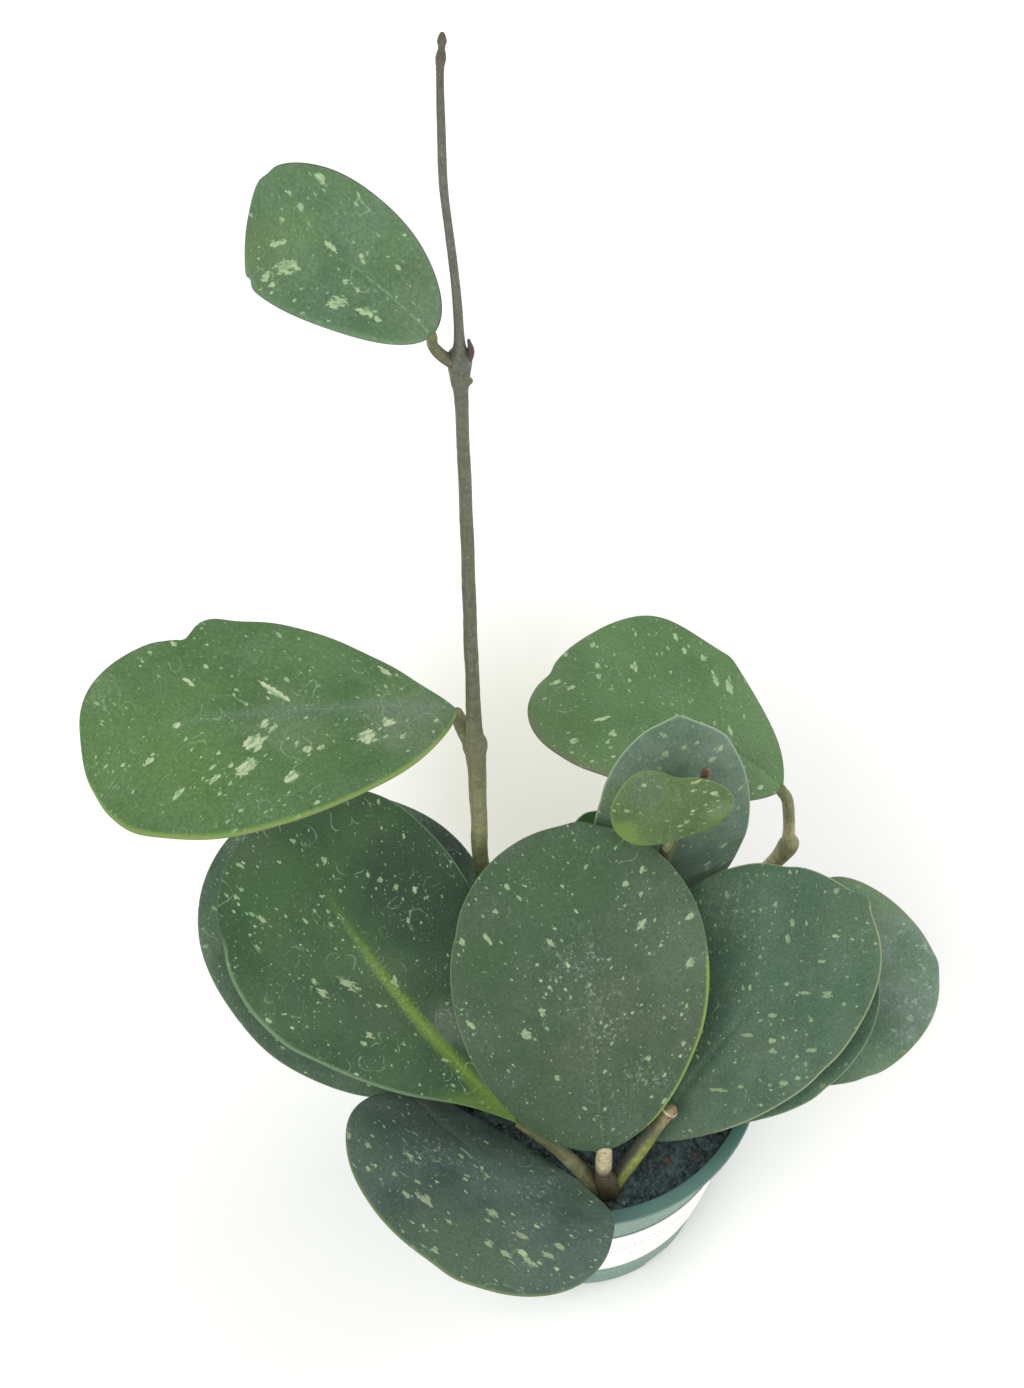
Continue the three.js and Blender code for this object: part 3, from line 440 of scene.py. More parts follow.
def turned(profile, sides):
    """Rings of a turned shape: every profile point, radius and height, carried once round Z."""
    radius, height = array(profile, dtype=float).T[..., None]
    return round_z(radius, 2 * pi * arange(sides) / sides, height)


# ---- materials ----
def seen(colour):
    """A colour of 0 to 255 as it looks on a screen, in the linear values that shaders take."""
    value = np.asarray(colour) / 255
    return (*np.where(value <= 0.04045, value / 12.92, ((value + 0.055) / 1.055) ** 2.4), 1)


class Wire:
    """A value that a material works out at every point. +, - and * add nodes to do it."""

    def __init__(self, socket):
        self.socket = socket

    def maths(self, operation, *others):
        kind = "Math" if self.socket.type == "VALUE" else "VectorMath"
        return node(kind, self, *others, operation=operation)[operation == "LENGTH"]

    def __add__(self, other):
        return self.maths("ADD", other)

    def __sub__(self, other):
        return self.maths("SUBTRACT", other)

    def __mul__(self, other):
        return self.maths("MULTIPLY", other)


def feed(socket, value):
    """Links a wire to a socket or sets its value. Colour sockets take colours of 0 to 255."""
    if isinstance(value, Wire):
        socket.id_data.links.new(value.socket, socket)
    elif value is not None:
        socket.default_value = seen(value) if socket.type == "RGBA" else value


def node(kind, *values, tree=None, **settings):
    """Outputs, as wires, of a new node whose sockets are fed the values in order. None leaves
    a socket as it is."""
    tree = tree or next(value.socket.id_data for value in values if isinstance(value, Wire))
    made = tree.nodes.new(f"ShaderNode{kind}")
    for name, value in settings.items():
        setattr(made, name, value)
    for socket, value in zip(made.inputs, values):
        feed(socket, value)
    return [Wire(socket) for socket in made.outputs]


def join(x, y, z):
    return node("CombineXYZ", x, y, z)[0]


def split(vector):
    return node("SeparateXYZ", vector)


def step(wire, low, high, at_low=0.0, at_high=1.0):
    """A smooth step from at_low to at_high while the wire goes from low to high."""
    return node("MapRange", wire, low, high, at_low, at_high, interpolation_type="SMOOTHSTEP")[0]


def mix(amount, below, above, blend="MIX"):
    """The colour below with an amount, 0 to 1, of the colour above laid over it."""
    return node("Mix", amount, *[None] * 5, below, above, data_type="RGBA", blend_type=blend)[2]


def shade(colour, factor):
    return mix(1, colour, factor, "MULTIPLY")


def noise(place, scale, detail=2.0, roughness=0.5):
    return node("TexNoise", place, None, scale, detail, roughness)[0]


def shake(place, scale, detail, roughness):
    """Three noises at once, from -0.5 to 0.5."""
    return node("TexNoise", place, None, scale, detail, roughness)[1] - (0.5, 0.5, 0.5)


def cells(place):
    """Distance to the nearest of a flat random scatter of points, one to each unit square,
    and three random numbers that belong to that point."""
    distance, numbers = node("TexVoronoi", place, None, 1, voronoi_dimensions="2D")[:2]
    return distance, split(numbers)


class Finish:
    """A material whose shader is fed by wires."""

    def __init__(self, name, roughness, sheen=0.5):
        self.material = bpy.data.materials.new(name)
        self.material.use_nodes = True
        self.tree = self.material.node_tree
        self.inputs = self.tree.nodes["Principled BSDF"].inputs
        feed(self.inputs["Roughness"], roughness)
        feed(self.inputs["Specular IOR Level"], sheen)

    def attribute(self, name, output=1):
        """Values given at the corners. Output 1 has three numbers, output 2 one."""
        return node("Attribute", tree=self.tree, attribute_name=name)[output]

    def place(self):
        """Object coordinates in millimetres."""
        return node("TexCoord", tree=self.tree)[3] * (1 / MM, 1 / MM, 1 / MM)

    def shown(self, colour, *bumps, roughness=None):
        """The material with its colour and bumps: height, depth in millimetres and strength."""
        feed(self.inputs["Base Color"], colour)
        feed(self.inputs["Roughness"], roughness)
        normal = None
        for height, depth, strength in bumps:
            normal = node("Bump", strength, depth * MM, None, height, normal)[0]
        feed(self.inputs["Normal"], normal)
        return self.material


def spots(place, cell, stretch, largest, spread, dense=1.0, soft=0.07):
    """Mask of spots, one to a cell of the given millimetres, stretched along the first axis. They
    have a random size up to largest; a high spread leaves most of them small."""
    distance, numbers = cells(place * (1 / (cell * stretch), 1 / cell, 0))
    radius = numbers[0].maths("POWER", spread) * (largest / cell) * dense
    return step(distance - radius, soft / cell, -soft / cell), numbers[1]


def slanted(along, outward, lean):
    """Place in the flecks' coordinates, which are turned by the lean from midrib to edge."""
    return along * cos(lean) + outward * sin(lean), outward * cos(lean) - along * sin(lean)


def closeness(place, marks, lean):
    """Closeness, 1 at the middle and 0 at the rim, to the nearest of the splashes, which are
    ellipses in the same turned coordinates as the flecks."""
    nearest = None
    for along, across, long, wide in numbers_of(marks):
        centre = (*slanted(along, abs(across), lean), copysign(SIDE_STEP, across))
        distance = ((place - centre) * (1 / long, 1 / wide, 1)).maths("LENGTH")
        nearest = nearest.maths("MINIMUM", distance) if nearest else distance
    return nearest * -1.0 + 1.0


def droplet_rings(flat, amount):
    """Mask of dried drops: thin wobbly rings of random size, broken here and there."""
    cell = 11.5
    place = flat + shake(flat, 0.13, 1, 0.4) * (9, 9, 0)
    distance, numbers = cells(place * (1 / cell, 1 / cell, 0))
    radius = numbers[0] * (3.0 / cell) + 1.3 / cell
    line = step((distance - radius).maths("ABSOLUTE"), 0.24 / cell, 0.04 / cell)
    shown = step(numbers[1], 1 - 0.75 * amount, 1.02 - 0.75 * amount)
    return line * shown * step(noise(flat + (9, 4, 7), 0.25), 0.4, 0.62)


def round_mask(flat, along, across, radius):
    """Mask of a soft round place with a cloudy edge, used for stains, scuffed places, painted shade
    and painted glints.
    """
    distance = (flat * (1, 1, 0) - (along, across, 0)).maths("LENGTH")
    ragged = noise(flat, 1.6 / radius, 3, 0.6) * (-0.9 * radius)
    return step(ragged + distance, 0.6 * radius, -0.25 * radius)


def leaf_finish(name, leaf, seed):
    """Leaf skin. The blade attribute holds distance along the midrib, across it and in from the
    edge. Over a clouded green come cast, bloom, stains and painted shade, midrib, sparks, grain,
    scuffed places and painted glints, dust, grit, dashes, flecks, marks, dried drops and rims,
    partly painted light through the thin edge."""
    finish = Finish(f"{name}_skin", 0.5, sheen=0.3)
    length = leaf.length
    along, across, inward = split(finish.attribute("blade"))
    outward = across.maths("ABSOLUTE")
    side = across.maths("SIGN")
    flat = join(along, across, seed * 11.3)

    clouds = noise(flat, 0.05, 3, 0.55)
    colour = mix(step(clouds, 0.35, 0.65), leaf.deep, leaf.skin)
    cast = step(noise(flat + (90, 20, 5), 0.035, 4, 0.6), 0.5, 0.68)
    colour = mix(cast * leaf.brown, colour, TINTS.cast)
    bloom, strength = leaf.haze
    film = step(noise(flat + (30, 80, 9), 0.09, 5, 0.65), 0.38, 0.72) * strength
    colour = mix(film, colour, bloom)
    # Patches are stains, and on some leaves painted shade where another leaf shades this one.
    for where, off, radius, *paint, strength in numbers_of(leaf.patches):
        colour = mix(round_mask(flat, where, off, radius) * strength, colour, paint)

    rib_colour, rib_line, rib_glow, rib_strength, rib_reach = leaf.rib
    reach = length * rib_reach
    fade = step(along, reach, reach * 0.35)
    ragged = noise(flat, 0.7, 3, 0.7)
    width = step(along, reach, 0, 0.35, 1) * rib_glow
    glow = step(ragged * (-rib_glow * 0.6) + outward, width, width * -0.2) * fade * rib_strength
    off_line = (across + noise(flat, 0.15) - 0.5).maths("ABSOLUTE")
    line = step(off_line, rib_line, rib_line * 0.3) * fade * 0.6 * step(ragged, 0.38, 0.55)
    colour = mix(line, mix(glow, colour, rib_colour), rib_colour)
    if leaf.sparks:
        near_rib = step(outward, rib_glow * 1.8, 0) * step(along, 30, 52) * fade
        fine = step(noise(flat, 1.1, 4, 0.75), 0.53, 0.6)
        colour = mix(fine * near_rib * 0.8, colour, TINTS.spark)

    colour = shade(colour, step(noise(flat, 1.3, 4, 0.7), 0.2, 0.8, 0.74, 1.26))
    # On leaf_right_lower these whitish places are a painted highlight, silver glints; on the other leaves
    # they are scuffed, dusty places.
    for where, off, radius in numbers_of(leaf.scuffs):
        broken_up = step(noise(flat, 0.75, 5, 0.8), 0.53, 0.68)
        colour = mix(round_mask(flat, where, off, radius) * broken_up * 0.7, colour, leaf.scuff_colour)

    lean = radians(leaf.slant)
    halves = side * SIDE_STEP
    place = join(*slanted(along, outward, lean), halves) + shake(flat, 0.9, 4, 0.85) * (2.6, 1.6, 0)
    scattered = place + join(halves, seed * 17.0, 0)
    dense = step(noise(flat + (7, 55, 2), 0.07), 0.35, 0.68, 0.35, 1.0)
    dust, tint = spots(flat + (3, 8, 0), 1.5, 1.0, 0.36, 2.2, dense)
    colour = mix(dust * tint * 0.7, colour, TINTS.pale_green)
    grit, tint = spots(flat + (31, 8, 0), 0.85, 1.0, 0.24, 1.6, dense)
    colour = mix(grit * tint * film * 1.6, colour, TINTS.grit)
    dashes, tint = spots(scattered + (5, 3, 0), 1.7, 4.5, 0.26, 1.6, dense)
    colour = mix(dashes * step(film, 0.05, 0.2) * leaf.scratch, colour, TINTS.dash)
    for cell, stretch, largest, spread in ((2.4, 1.5, 0.5, 2.6), (5.2, 1.7, 0.85, 3.0)):
        size = largest * (0.5 + 0.6 * leaf.flecks)
        mask, tint = spots(scattered, cell, stretch, size, spread, dense)
        colour = mix(mask * 0.92, colour, mix(tint, TINTS.pale_green, TINTS.cream))
    if leaf.marks:
        close = closeness(place, leaf.marks, lean)
        torn = noise(place * (0.55, 1.5, 1), 0.75, 3, 0.6)
        least = 0.28 - leaf.bold
        shown = step((torn - 0.5) * leaf.torn + close, least, least + 0.18)
        shown = shown * step(close, -0.45, -0.25)
        blotch = mix(step(torn, 0.4, 0.58), TINTS.pale_green, leaf.splash)
        colour = mix(shown * 0.93, colour, blotch)
    if leaf.loops:
        colour = mix(droplet_rings(flat, leaf.loops) * 0.42, colour, TINTS.drop)

    # Rims are partly the leaf's own margin colour and partly painted light shining through the thin edge.
    for which, red, green, blue, width, strength, *ends in numbers_of(leaf.rims):
        band = step(ragged * (-width * 0.5) + inward, width, 0) * strength
        if which:
            band = band * step(side, -which * 0.1, which * 0.1)
        if ends:
            start, stop = ends
            band = band * step(along, (start - 0.06) * length, start * length)
            band = band * step(along, (stop + 0.08) * length, stop * length)
        colour = mix(band, colour, (red, green, blue))

    under = mix(step(clouds, 0.3, 0.7), TINTS.under_pale, TINTS.under_deep)
    under = mix(step(outward, 2.2, 0.5) * 0.7, under, TINTS.under_rib)
    colour = mix(step(finish.attribute("facing", 2), -0.1, -0.3), colour, under)
    pores, groove = noise(flat, 1.4, 3, 0.6), step(outward, 2.0, 0) * fade
    bumps = (noise(flat, 0.16), 0.9, 0.5), (pores, 0.12, 0.6), (groove, -0.35, 0.8)
    return finish.shown(colour, *bumps, roughness=step(film, 0, 0.6, 0.46, 0.6))


def bark_finish():
    """Bark of the tone attribute's colours, mottled, speckled and ridged. The bark attribute
    holds distance along the limb, distance round it and how lined it is."""
    finish = Finish("bark", 0.62)
    along, around, lined = split(finish.attribute("bark"))
    flat = join(along, around, 2)
    mottle = step(noise(flat, 0.45, 3, 0.6), 0.25, 0.75, 0.72, 1.22)
    colour = shade(finish.attribute("tone"), mottle)
    streak = noise(join(along * 0.25, around, 2), 1.6)
    colour = mix(step(streak, 0.5, 0.75) * 0.35, colour, BARK["brown"])
    speck, tint = spots(flat, 1.2, 1.6, 0.3, 2.0)
    colour = mix(speck * tint * 0.3, colour, (180, 172, 140))
    crease = step(noise(join(along * 1.5, around * 0.2, 4), 1.0), 0.55, 0.66)
    colour = mix(crease * lined * 0.7, colour, (118, 100, 76))
    pit, tint = spots(flat + (5, 9, 0), 1.7, 1.3, 0.32, 2.0)
    colour = mix(pit * tint * 0.6, colour, BARK["dark"])
    return finish.shown(colour, (streak, 0.12, 0.8), (noise(flat, 2.2, 3), 0.12, 0.7))


def pot_finish():
    """Moulded teal plastic, darker in the lip and paler in the thin wall, with faint turned
    lines, dust and scuff marks."""
    finish = Finish("pot_plastic", 0.38)
    place = finish.place()
    height = split(place)[2]
    under_lip = POT.height - POT.lip_thick
    wall = step(height, under_lip + 0.1, under_lip - 0.4)
    colour = mix(wall, (69, 105, 96), (94, 134, 117))
    colour = mix(step(height, 30, 8) * 0.6, colour, (80, 120, 106))
    colour = shade(colour, step(noise(place, 0.05, 3), 0.3, 0.7, 0.94, 1.06))
    scuff = noise(place * (1, 1, 0.3), 0.8, 5, 0.7)
    colour = mix(step(scuff, 0.62, 0.8) * 0.25, colour, (176, 196, 186))
    specks = step(noise(place, 1.4, 2, 0.6), 0.74, 0.78)
    colour = mix(specks * 0.5, colour, (190, 200, 190))
    lines = (height * (2 * pi / 0.9)).maths("SINE")
    bumps = (lines, 0.02, 0.4), (noise(place, 0.35), 0.25, 0.3)
    return finish.shown(colour, *bumps, roughness=step(scuff, 0.3, 0.8, 0.32, 0.5))


def label_finish():
    """Bare white film with a paper grain and two dotted writing rules. The strip attribute
    holds distance round the pot and height above the label's lower edge."""
    finish = Finish("label_film", 0.5)
    round_pot, height, _ = split(finish.attribute("strip"))
    grain = noise(finish.place(), 1.2, 4, 0.6)
    colour = shade((253, 248, 247), step(grain, 0.2, 0.8, 0.97, 1.02))
    dots = step((round_pot * (2 * pi / 1.5)).maths("SINE"), 0.1, 0.5)
    inside = step(round_pot, 12, 12.2) * step(round_pot, 100.2, 100)
    for level in (27.0, 23.0):
        rule = step((height - level).maths("ABSOLUTE"), 0.3, 0.2)
        colour = mix(rule * dots * inside * 0.9, colour, (92, 96, 98))
    return finish.shown(colour, (grain, 0.03, 0.5))


def soil_finish(name, low, high, roughness=0.95):
    """Crumbly matt matter, mottled between two colours, with a coarse grain."""
    finish = Finish(name, roughness)
    place = finish.place()
    mottle = noise(place, 0.5, 5, 0.7)
    fine = noise(place, 3.0, 4, 0.7)
    colour = shade(mix(step(mottle, 0.35, 0.65), low, high), step(fine, 0.25, 0.75, 0.7, 1.3))
    return finish.shown(colour, (mottle, 0.8, 0.8), (fine, 0.3, 0.8))


# ---- leaves ----
def midrib_frame(leaf, t):
    """Unit vectors at fraction t: along the midrib, whose heading and rise turn evenly, then to
    the leaf's left and out of its face, turned about it by roll and twist."""
    heading = radians(leaf.heading + leaf.sway * (t - 0.5))
    rise = radians(leaf.rise - leaf.bend * (t - 0.5))[..., None]
    roll = radians(leaf.roll + leaf.twist * (t - 0.5))[..., None]
    ahead = stack([cos(heading), sin(heading), 0 * heading], -1)
    level = stack([-sin(heading), cos(heading), 0 * heading], -1)
    forward = cos(rise) * ahead + sin(rise) * UP
    upright = cos(rise) * UP - sin(rise) * ahead
    left = cos(roll) * level + sin(roll) * upright
    return forward, left, cos(roll) * upright - sin(roll) * level


def midrib_place(leaf, t):
    """Point on the midrib: the base plus the running sum of short steps along its direction."""
    ends = linspace(0, 1, MIDRIB_STEPS + 1)
    moves = midrib_frame(leaf, (ends[1:] + ends[:-1]) / 2)[0] * leaf.length / MIDRIB_STEPS
    line = vstack([np.zeros(3), np.cumsum(moves, 0)]) + leaf.at
    return stack([np.interp(t, ends, line[:, k]) for k in range(3)], -1)


def blade_across(leaf, t, half, side):
    """Distance from the midrib: half width times side, from -1 to 1, with the lean to one half
    and a bell-shaped dip for each notch, which grows as the square of side."""
    across = half * side * (1 + leaf.lean * np.sign(side))
    for where, which, depth, spread in numbers_of(leaf.notches):
        dip = depth * np.exp(-(((t - where) / spread) ** 2)) * side**2
        across = across - which * dip * (np.sign(side) == which)
    return across


def blade_lift(leaf, t, half, side, across, seed):
    """Height out of the flat: curl times the square of across over the half width, an edge wave
    that grows as the cube of side, and shallow dents from three crossing sines."""
    height, count, start = leaf.wave
    phase = 2 * pi * count * t + radians(start) + 1.3 * (side > 0)
    fade = minimum(1, half / (leaf.width / 4))
    wave = height * sin(phase) * abs(side) ** 3 * fade
    along = t * leaf.length
    dents = 0.16 * sin(along / 5.9 + seed) * sin(across / 5.1 + 2 * seed)
    dents = dents + 0.1 * sin(along / 3.2 - across / 4.3 + 3 * seed)
    return leaf.curl * (across / (leaf.width / 2)) ** 2 + wave + dents * fade


def make_leaf(name, leaf, seed):
    """A closed blade as a grid. Rows sweep from base to tip by an angle from 0 to pi, so that
    the half width is its sine to a power; columns go once round the cross section, where side is
    the cosine and the share of the thickness is the sine to a low power, a rounded edge."""
    length = leaf.length
    sweep = linspace(0, pi, BLADE_ROWS + 1)[1:-1, None]
    turn = 2 * pi * arange(BLADE_COLUMNS)[None, :] / BLADE_COLUMNS
    side = cos(turn)
    face = np.sign(sin(turn)) * abs(sin(turn)) ** EDGE_ROUNDNESS
    fraction = (1 - cos(sweep)) / 2
    t = fraction ** leaf.belly
    shape = leaf.base_shape + (leaf.tip_shape - leaf.base_shape) * fraction
    half = (leaf.width / 2 - BLADE_SLIMMER) * sin(sweep) ** shape
    across = blade_across(leaf, t, half, side)
    swell = sqrt(clip(1 - side**2, 0, 1) * sin(sweep))
    thick = BLADE_EDGE + (BLADE_CORE - BLADE_EDGE) * swell
    thick = thick * sqrt(clip(sin(sweep) / ENDS_THINNED, 0, 1))
    lift = blade_lift(leaf, t, half, side, across, seed) + face * thick / 2
    push = leaf.point * np.exp(-((np.hypot((1 - t) * length, across) / TIP_REACH) ** 2))

    forward, left, out = midrib_frame(leaf, t)
    rings = midrib_place(leaf, t) + forward * push[..., None]
    rings = rings + left * across[..., None] + out * lift[..., None]
    end = array(1.0)
    tip = midrib_place(leaf, end) + midrib_frame(leaf, end)[0] * leaf.point
    corners, faces = skin(rings, array(leaf.at, dtype=float), tip)

    inward = half * (1 - abs(side))
    blade = stack(broadcast_arrays(t * length, across, inward), -1).reshape(-1, 3)
    layers = {
        "blade": concatenate([blade, [[0, 0, 0], [length, 0, 0]]]),
        "facing": np.append(np.broadcast_to(face, across.shape).ravel(), [1, 1]),
    }
    finish = leaf_finish(name, leaf, seed)
    return piece(f"{name}_blade", corners, faces, finish, [name], layers)


# ---- stems ----
def smooth_line(points, along):
    """Catmull-Rom curve through rows of numbers, read at places from 0 to the last row's index,
    with a mirrored neighbour at each end."""
    points = vstack([2 * points[0] - points[1], points, 2 * points[-1] - points[-2]])
    k = clip(along.astype(int), 0, len(points) - 4)
    u = (along - k)[:, None]
    p0, p1, p2, p3 = (points[k + i] for i in range(4))
    square, cube = 2 * p0 - 5 * p1 + 4 * p2 - p3, 3 * p1 - p0 - 3 * p2 + p3
    return 0.5 * (2 * p1 + (p2 - p0) * u + square * u**2 + cube * u**3)


def lengths(vectors):
    return np.linalg.norm(vectors, axis=-1)


def limb_rings(limb):
    """Rings round a limb: circles square to its curve, kept from twisting by one fixed direction
    square to the plane it bends in. Creases are a sine of the distance along."""
    points = array(limb.points)
    span = lengths(np.diff(points[:, :3], axis=0)).sum()
    where = linspace(0, len(points) - 1, max(12, int(span / STEM_STEP)))
    line = smooth_line(points, where)
    middle, radius = line[:, :3], np.maximum(line[:, 3], 0.3)
    forward = np.gradient(middle, axis=0)
    forward /= lengths(forward)[:, None]
    fixed = np.linalg.svd(points[:, :3] - points[:, :3].mean(0))[2][2]
    across = fixed - forward * (forward @ fixed)[:, None]
    across /= lengths(across)[:, None]
    other = np.cross(forward, across)

    travel = concatenate([[0], np.cumsum(lengths(np.diff(middle, axis=0)))])
    crease = limb.rings * sin(travel * 2 * pi / 1.3)
    radius = radius * (1 + 0.015 * sin(travel / 3.7) + 0.01 * sin(travel / 1.1)) - crease
    closing = limb_closing(radius[-1], limb.end)
    middle = vstack([middle, middle[-1] + closing[:, :1] * forward[-1]])
    radius = np.append(radius, closing[:, 1])
    across, other = (vstack([v, np.repeat(v[-1:], len(closing), 0)]) for v in (across, other))
    travel = np.append(travel, travel[-1] + closing[:, 0])

    turn = 2 * pi * arange(STEM_SIDES) / STEM_SIDES
    wide = radius[:, None] * (1 + 0.03 * sin(3 * turn + travel[:, None] / 4))
    round_limb = across[:, None] * cos(turn)[:, None] + other[:, None] * sin(turn)[:, None]
    rings = middle[:, None] + wide[..., None] * round_limb
    bark = broadcast_arrays(travel[:, None], turn * radius.mean(), float(limb.lines))
    return rings, middle[0], middle[-1], stack(bark, -1), travel / travel[-1]


def limb_closing(radius, end):
    """Steps forward and radii of the rings that shut a limb: a quarter circle for a dome, and
    a rounded edge, a flat face and a shallow hollow for a cut."""
    if end == "cut":
        shape = [(0.15, 0.97), (0.22, 0.9), (0.18, 0.7), (0.1, 0.45), (-0.1, 0.3), (-0.15, 0.12)]
    else:
        shape = [(0.7 * sin(a), cos(a)) for a in radians([15, 32, 50, 68, 82])]
    return array(shape) * radius


def tones_of(names):
    return array([seen(BARK[name])[:3] for name in names.split()])


def spread_tones(names, share, end):
    """Bark tones spread evenly over a limb, read at shares of its length, with any cut's."""
    tones = tones_of(names)
    where = linspace(0, 1, len(tones))
    tones = stack([np.interp(share, where, tones[:, k]) for k in range(3)], -1)
    if end == "cut":
        cut = tones_of(CUT_TONES)
        tones[-len(cut):] = cut
    return tones[:, None]


def make_stem(name, limbs, material):
    """All limbs of a stem in one mesh, each a closed skin rooted inside the one it grows from."""
    parts, first = [], 0
    for limb in limbs:
        rings, start, end, bark, share = limb_rings(limb)
        points, faces = skin(rings, start, end)
        quads, fans = turned_out(points, faces)
        outward = rings - rings.mean(1)[:, None]
        outward /= lengths(outward)[..., None]
        low = clip(outward @ FLANK_SIDE * FLANK_SLOPE + FLANK_START, 0, 1)[..., None]
        tones, flank = (spread_tones(names, share, limb.end) for names in (limb.tones, limb.flank))
        tone = tones * (1 - low) + flank * low
        parts.append((points, quads + first, fans + first, with_ends(bark), with_ends(tone)))
        first += len(points)
    corners, quads, fans, bark, tone = (concatenate(part) for part in zip(*parts))
    layers = {"bark": bark, "tone": tone}
    return piece(f"{name}_bark", corners, [quads, fans], material, [name], layers)


# ---- pot and label ----
def wall_radius(height):
    """Outside of the tapered wall: it widens evenly from the floor to just under the lip."""
    share = height / (POT.height - POT.lip_thick)
    return POT.base + (POT.shoulder - POT.base) * share


def make_pot():
    """A turned profile from the middle of the underside, up the outside, over the lip and down
    to the middle of the floor. Boxes round the foot cut its drain slots."""
    top, rim, base, floor = POT.height, POT.rim, POT.base, POT.floor
    under = top - POT.lip_thick
    inside = rim - POT.lip_width
    heights = linspace(1.2, under - 0.5, 24)
    profile = [(base - 4, 0), (base - 0.9, 0), (base - 0.25, 0.25), (base, 0.9)]
    profile += [(wall_radius(h), h) for h in heights]
    profile += [
        (wall_radius(under) + 0.2, under - 0.05), (rim - 0.5, under), (rim - 0.12, under + 0.12),
        (rim, under + 0.5), (rim, top - 0.6), (rim - 0.18, top - 0.18), (rim - 0.6, top),
        (inside + 0.5, top), (inside + 0.12, top - 0.15), (inside, top - 0.5),
    ]
    profile += [(wall_radius(h) - POT.wall, h) for h in heights[::-1] if h > floor + 1]
    profile += [(wall_radius(floor) - POT.wall - 1, floor), (20, floor)]
    corners, faces = skin(turned(profile, POT_SIDES), (0, 0, 0), (0, 0, floor))
    pot = piece("pot_shell", corners, faces, pot_finish(), ["pot"])
    cut_slots(pot)
    pot.data.set_sharp_from_angle(angle=radians(38))
    return pot


def cut_slots(pot):
    """Takes a ring of boxes out of the corner between the pot's floor and wall."""
    size = array([POT.drain_depth / 2, POT.drain_width / 2, POT.drain_height])
    box = array(list(itertools.product((-1, 1), repeat=3))) * size + (POT.base, 0, 0)
    sides = [(0, 1, 3, 2), (4, 6, 7, 5), (0, 4, 5, 1), (2, 3, 7, 6), (0, 2, 6, 4), (1, 5, 7, 3)]
    corners, faces = [], []
    for k in range(POT.drains):
        turn = radians(POT.drain_start + 360 * k / POT.drains)
        cosine, sine = cos(turn), sin(turn)
        corners += (box @ [[cosine, sine, 0], [-sine, cosine, 0], [0, 0, 1]] * MM).tolist()
        faces += (array(sides) + 8 * k).tolist()
    mesh = bpy.data.meshes.new("slots")
    mesh.from_pydata(corners, [], faces)
    cut = pot.modifiers.new("slots", "BOOLEAN")
    cutter = added("slots", mesh)
    cut.operation, cut.object, cut.solver = "DIFFERENCE", cutter, "EXACT"
    bpy.context.view_layer.objects.active = pot
    bpy.ops.object.modifier_apply(modifier=cut.name)
    bpy.data.objects.remove(cutter)


def make_label():
    """A strip on the cone: a rounded rectangle, thickness by height, carried round the wall. A
    straight strip on a cone climbs by base radius over slope, times 1 - cos(angle x slope)."""
    slope = (POT.shoulder - POT.base) / POT.height
    turn = radians(linspace(LABEL.start, LABEL.stop, LABEL.columns))[:, None]
    away = turn - turn.mean()
    climb = POT.base / slope * (1 - cos(away * slope))
    side = linspace(0, 1, 12)
    up = concatenate([side, side[::-1]])
    out = np.repeat([1.0, 0.0], 12)
    out[[0, 11]] = 0.75
    column = arange(LABEL.columns)[:, None]
    from_end = minimum(column, column[::-1])
    corner = 0.95 + 0.05 * sqrt(clip(1 - (1 - from_end / 4) ** 2, 0, 1))
    tall = LABEL.high - LABEL.low
    level = tall * (0.5 + (up - 0.5) * corner)
    height = LABEL.low + level + climb
    rings = round_z(wall_radius(height) + GAP * 0.4 + out * LABEL.thick * 0.6, turn, height)
    corners, faces = skin(rings, rings[0].mean(0), rings[-1].mean(0))
    strip = stack(broadcast_arrays((away - away[0]) * 45, level, 0), -1)
    layers = {"strip": with_ends(strip)}
    return piece("label_band", corners, faces, label_finish(), ["label"], layers, 40)


# ---- soil ----
def soil_height(x, y):
    """Height of the soil: its level plus broad heaps and crumbs, each a product of sines."""
    heaps = sin(0.21 * x + 0.6) * cos(0.17 * y - 0.4)
    crumbs = sin(0.55 * x - 0.33 * y) * cos(0.47 * y + 0.29 * x)
    return SOIL_LEVEL + SOIL_RELIEF * (0.65 * heaps + 0.35 * crumbs)


def make_soil():
    """A plug: rings from the middle of its top, which has the soil's height and a roughness of
    sines, out to the wall, down and back along the bottom."""
    reach = wall_radius(SOIL_LEVEL) - POT.wall - 0.2
    away = reach * linspace(0.03, 1, 46)[:, None]
    turn = 2 * pi * arange(SOIL_SIDES) / SOIL_SIDES
    x, y = away * cos(turn), away * sin(turn)
    rough = 0.35 * sin(2.1 * x + 1.3 * y) * sin(1.7 * y - 0.9 * x + 2)
    rough = rough + 0.2 * sin(3.7 * x) * sin(4.1 * y)
    top = stack([x, y, soil_height(x, y) + rough], -1)
    bottom = POT.floor + GAP
    low = wall_radius(bottom) - POT.wall - GAP
    foot = turned([(low, bottom + 1), (low - 1, bottom), (low * 0.5, bottom)], SOIL_SIDES)
    corners, faces = skin(concatenate([top, foot]), (0, 0, soil_height(0, 0)), (0, 0, bottom))
    finish = soil_finish("soil_mix", (50, 66, 70), (88, 108, 107))
    return piece("soil_plug", corners, faces, finish, ["soil"])


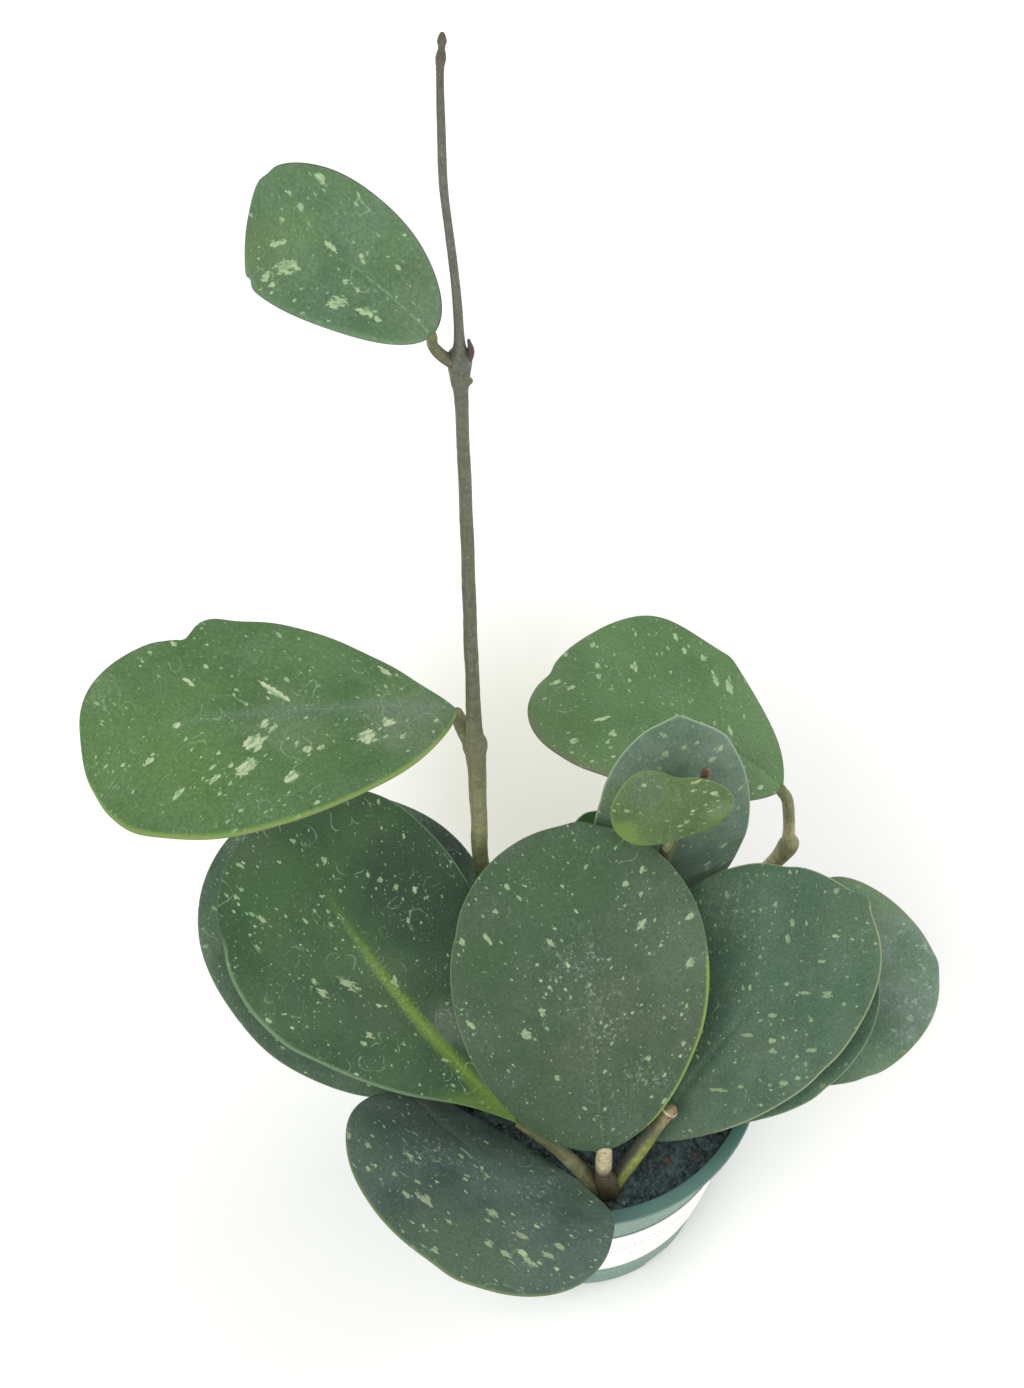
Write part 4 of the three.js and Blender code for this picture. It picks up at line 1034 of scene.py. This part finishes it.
def lump_faces():
    """The 32 triangles of an octahedron split once: three corner triangles and a middle one for
    each of its faces."""
    place = {corner: i for i, corner in enumerate(LUMP)}
    faces = []
    for x, y, z in itertools.product((1, -1), repeat=3):
        a, b, c = place[(x, 0, 0)], place[(0, y, 0)], place[(0, 0, z)]
        ab, bc, ca = place[(x, y, 0)], place[(0, y, z)], place[(x, 0, z)]
        group = [(a, ab, ca), (b, bc, ab), (c, ca, bc), (ab, bc, ca)]
        faces += [f if x * y * z > 0 else f[::-1] for f in group]
    return array(faces)


def scatter(name, count, sizes, flatness, finish, seed):
    """Grains on the soil: copies of a ball, stretched, turned and jittered at random, laid on
    the soil's height inside the pot and clear of the stems. Flat grains lie level."""
    random = np.random.default_rng(seed)
    reach = wall_radius(SOIL_LEVEL) - POT.wall - 1.5
    away = reach * sqrt(random.random(count * 2))
    turn = random.random(count * 2) * 2 * pi
    x, y = away * cos(turn), away * sin(turn)
    feet = array([limb.points[0][:2] for limbs in STEMS.values() for limb in limbs[:4]])
    clear = np.hypot(x[:, None] - feet[:, 0], y[:, None] - feet[:, 1]).min(1) > CLEAR_OF_STEMS
    x, y = x[clear][:count], y[clear][:count]
    count = len(x)
    ball = array(LUMP) / lengths(array(LUMP))[:, None]
    shapes = ball * random.uniform(0.72, 1.15, (count, len(ball), 1))
    shapes = shapes * (random.uniform(0.6, 1.3, (count, 1, 3)) * (1, 1, flatness))
    shapes = shapes * random.uniform(*sizes, (count, 1, 1))
    spin = np.linalg.qr(random.normal(size=(count, 3, 3)))[0]
    spin *= np.sign(np.linalg.det(spin))[:, None, None]
    turn = random.random(count) * 2 * pi
    if flatness < LIES_LEVEL:
        spin = np.tile(np.eye(3), (count, 1, 1))
        spin[:, 0, 0], spin[:, 0, 1], spin[:, 1, 0] = cos(turn), -sin(turn), sin(turn)
        spin[:, 1, 1] = cos(turn)
    shapes = np.einsum("nij,nkj->nki", spin, shapes)
    lift = shapes[..., 2].max(1) * (1 - 2 * GRAIN_SUNK)
    centres = stack([x, y, soil_height(x, y) + lift], -1)
    corners = (shapes + centres[:, None]).reshape(-1, 3)
    faces = (lump_faces()[None] + len(ball) * arange(count)[:, None, None]).reshape(-1, 3)
    grains = piece(name, corners, [faces], finish)
    grains.data.polygons.foreach_set("use_smooth", np.zeros(len(faces), dtype=bool))
    return grains


# ---- camera, light and floor ----
def make_camera():
    """The photograph's view: from in front and well above, looking down."""
    camera = bpy.data.cameras.new("camera")
    camera.lens, camera.sensor_width = CAMERA.lens, CAMERA.film
    holder = added("camera", camera)
    holder.location = Vector(CAMERA.place) * MM
    holder.rotation_euler = (radians(CAMERA.tilt), 0, 0)
    bpy.context.scene.camera = holder


def softbox(name, place, aim, width, power):
    """A square area light, in metres, pointed at a place."""
    light = bpy.data.lights.new(name, "AREA")
    light.size, light.energy = width, power
    holder = added(name, light)
    holder.location = place
    holder.rotation_euler = (Vector(aim) - Vector(place)).to_track_quat("-Z", "Y").to_euler()


def make_studio():
    """A pale floor with a painted shadow behind the pot, a bright even sky and two softboxes, shown
    without a film curve.
    """
    bpy.context.scene.view_settings.view_transform = "Standard"
    world = bpy.data.worlds.new("studio")
    world.use_nodes = True
    sky = world.node_tree.nodes["Background"].inputs
    sky[0].default_value, sky[1].default_value = (0.99, 0.99, 1.0, 1), 0.85
    bpy.context.scene.world = world
    softbox("key", (-0.7, -1.0, 1.6), (0, 0, 0.1), 1.1, 15)
    softbox("side", (1.2, 0.5, 1.1), (0, 0, 0.1), 0.8, 6)
    mesh = bpy.data.meshes.new("floor")
    mesh.from_pydata([(-4, -4, 0), (4, -4, 0), (4, 4, 0), (-4, 4, 0)], [], [(0, 1, 2, 3)])
    finish = Finish("floor_white_and_painted_shadow", 0.7)
    # Painted shadow: the floor's colour goes to a warm grey behind the pot.
    apart = ((finish.place() - FLOOR_SHADOW.centre) * (1, 0.8, 1)).maths("LENGTH")
    shadow = step(apart, FLOOR_SHADOW.end, FLOOR_SHADOW.start)
    mesh.materials.append(finish.shown(mix(shadow, FLOOR_WHITE, FLOOR_SHADOW.colour)))
    floor = added("floor", mesh)


# ---- the whole plant ----
make_camera()
make_studio()
make_pot()
make_label()
make_soil()
scatter("soil_crumbs", 1500, (0.5, 1.2), 0.8, soil_finish("crumbs", (50, 64, 68), (86, 102, 101)), 11)
scatter("soil_bark", 40, (1.0, 2.0), 0.35, soil_finish("bark_chips", (58, 58, 56), (96, 84, 74)), 12)
scatter("soil_grit", 30, (0.3, 0.7), 0.9, soil_finish("pale_grit", (120, 122, 116), (170, 170, 162)), 13)
bark = bark_finish()
for stem_name, stem_limbs in STEMS.items():
    make_stem(stem_name, stem_limbs, bark)
for number, (leaf_name, leaf_row) in enumerate(LEAVES.items(), 1):
    make_leaf(leaf_name, Named(**dict(zip(WORDS, leaf_row))), number)
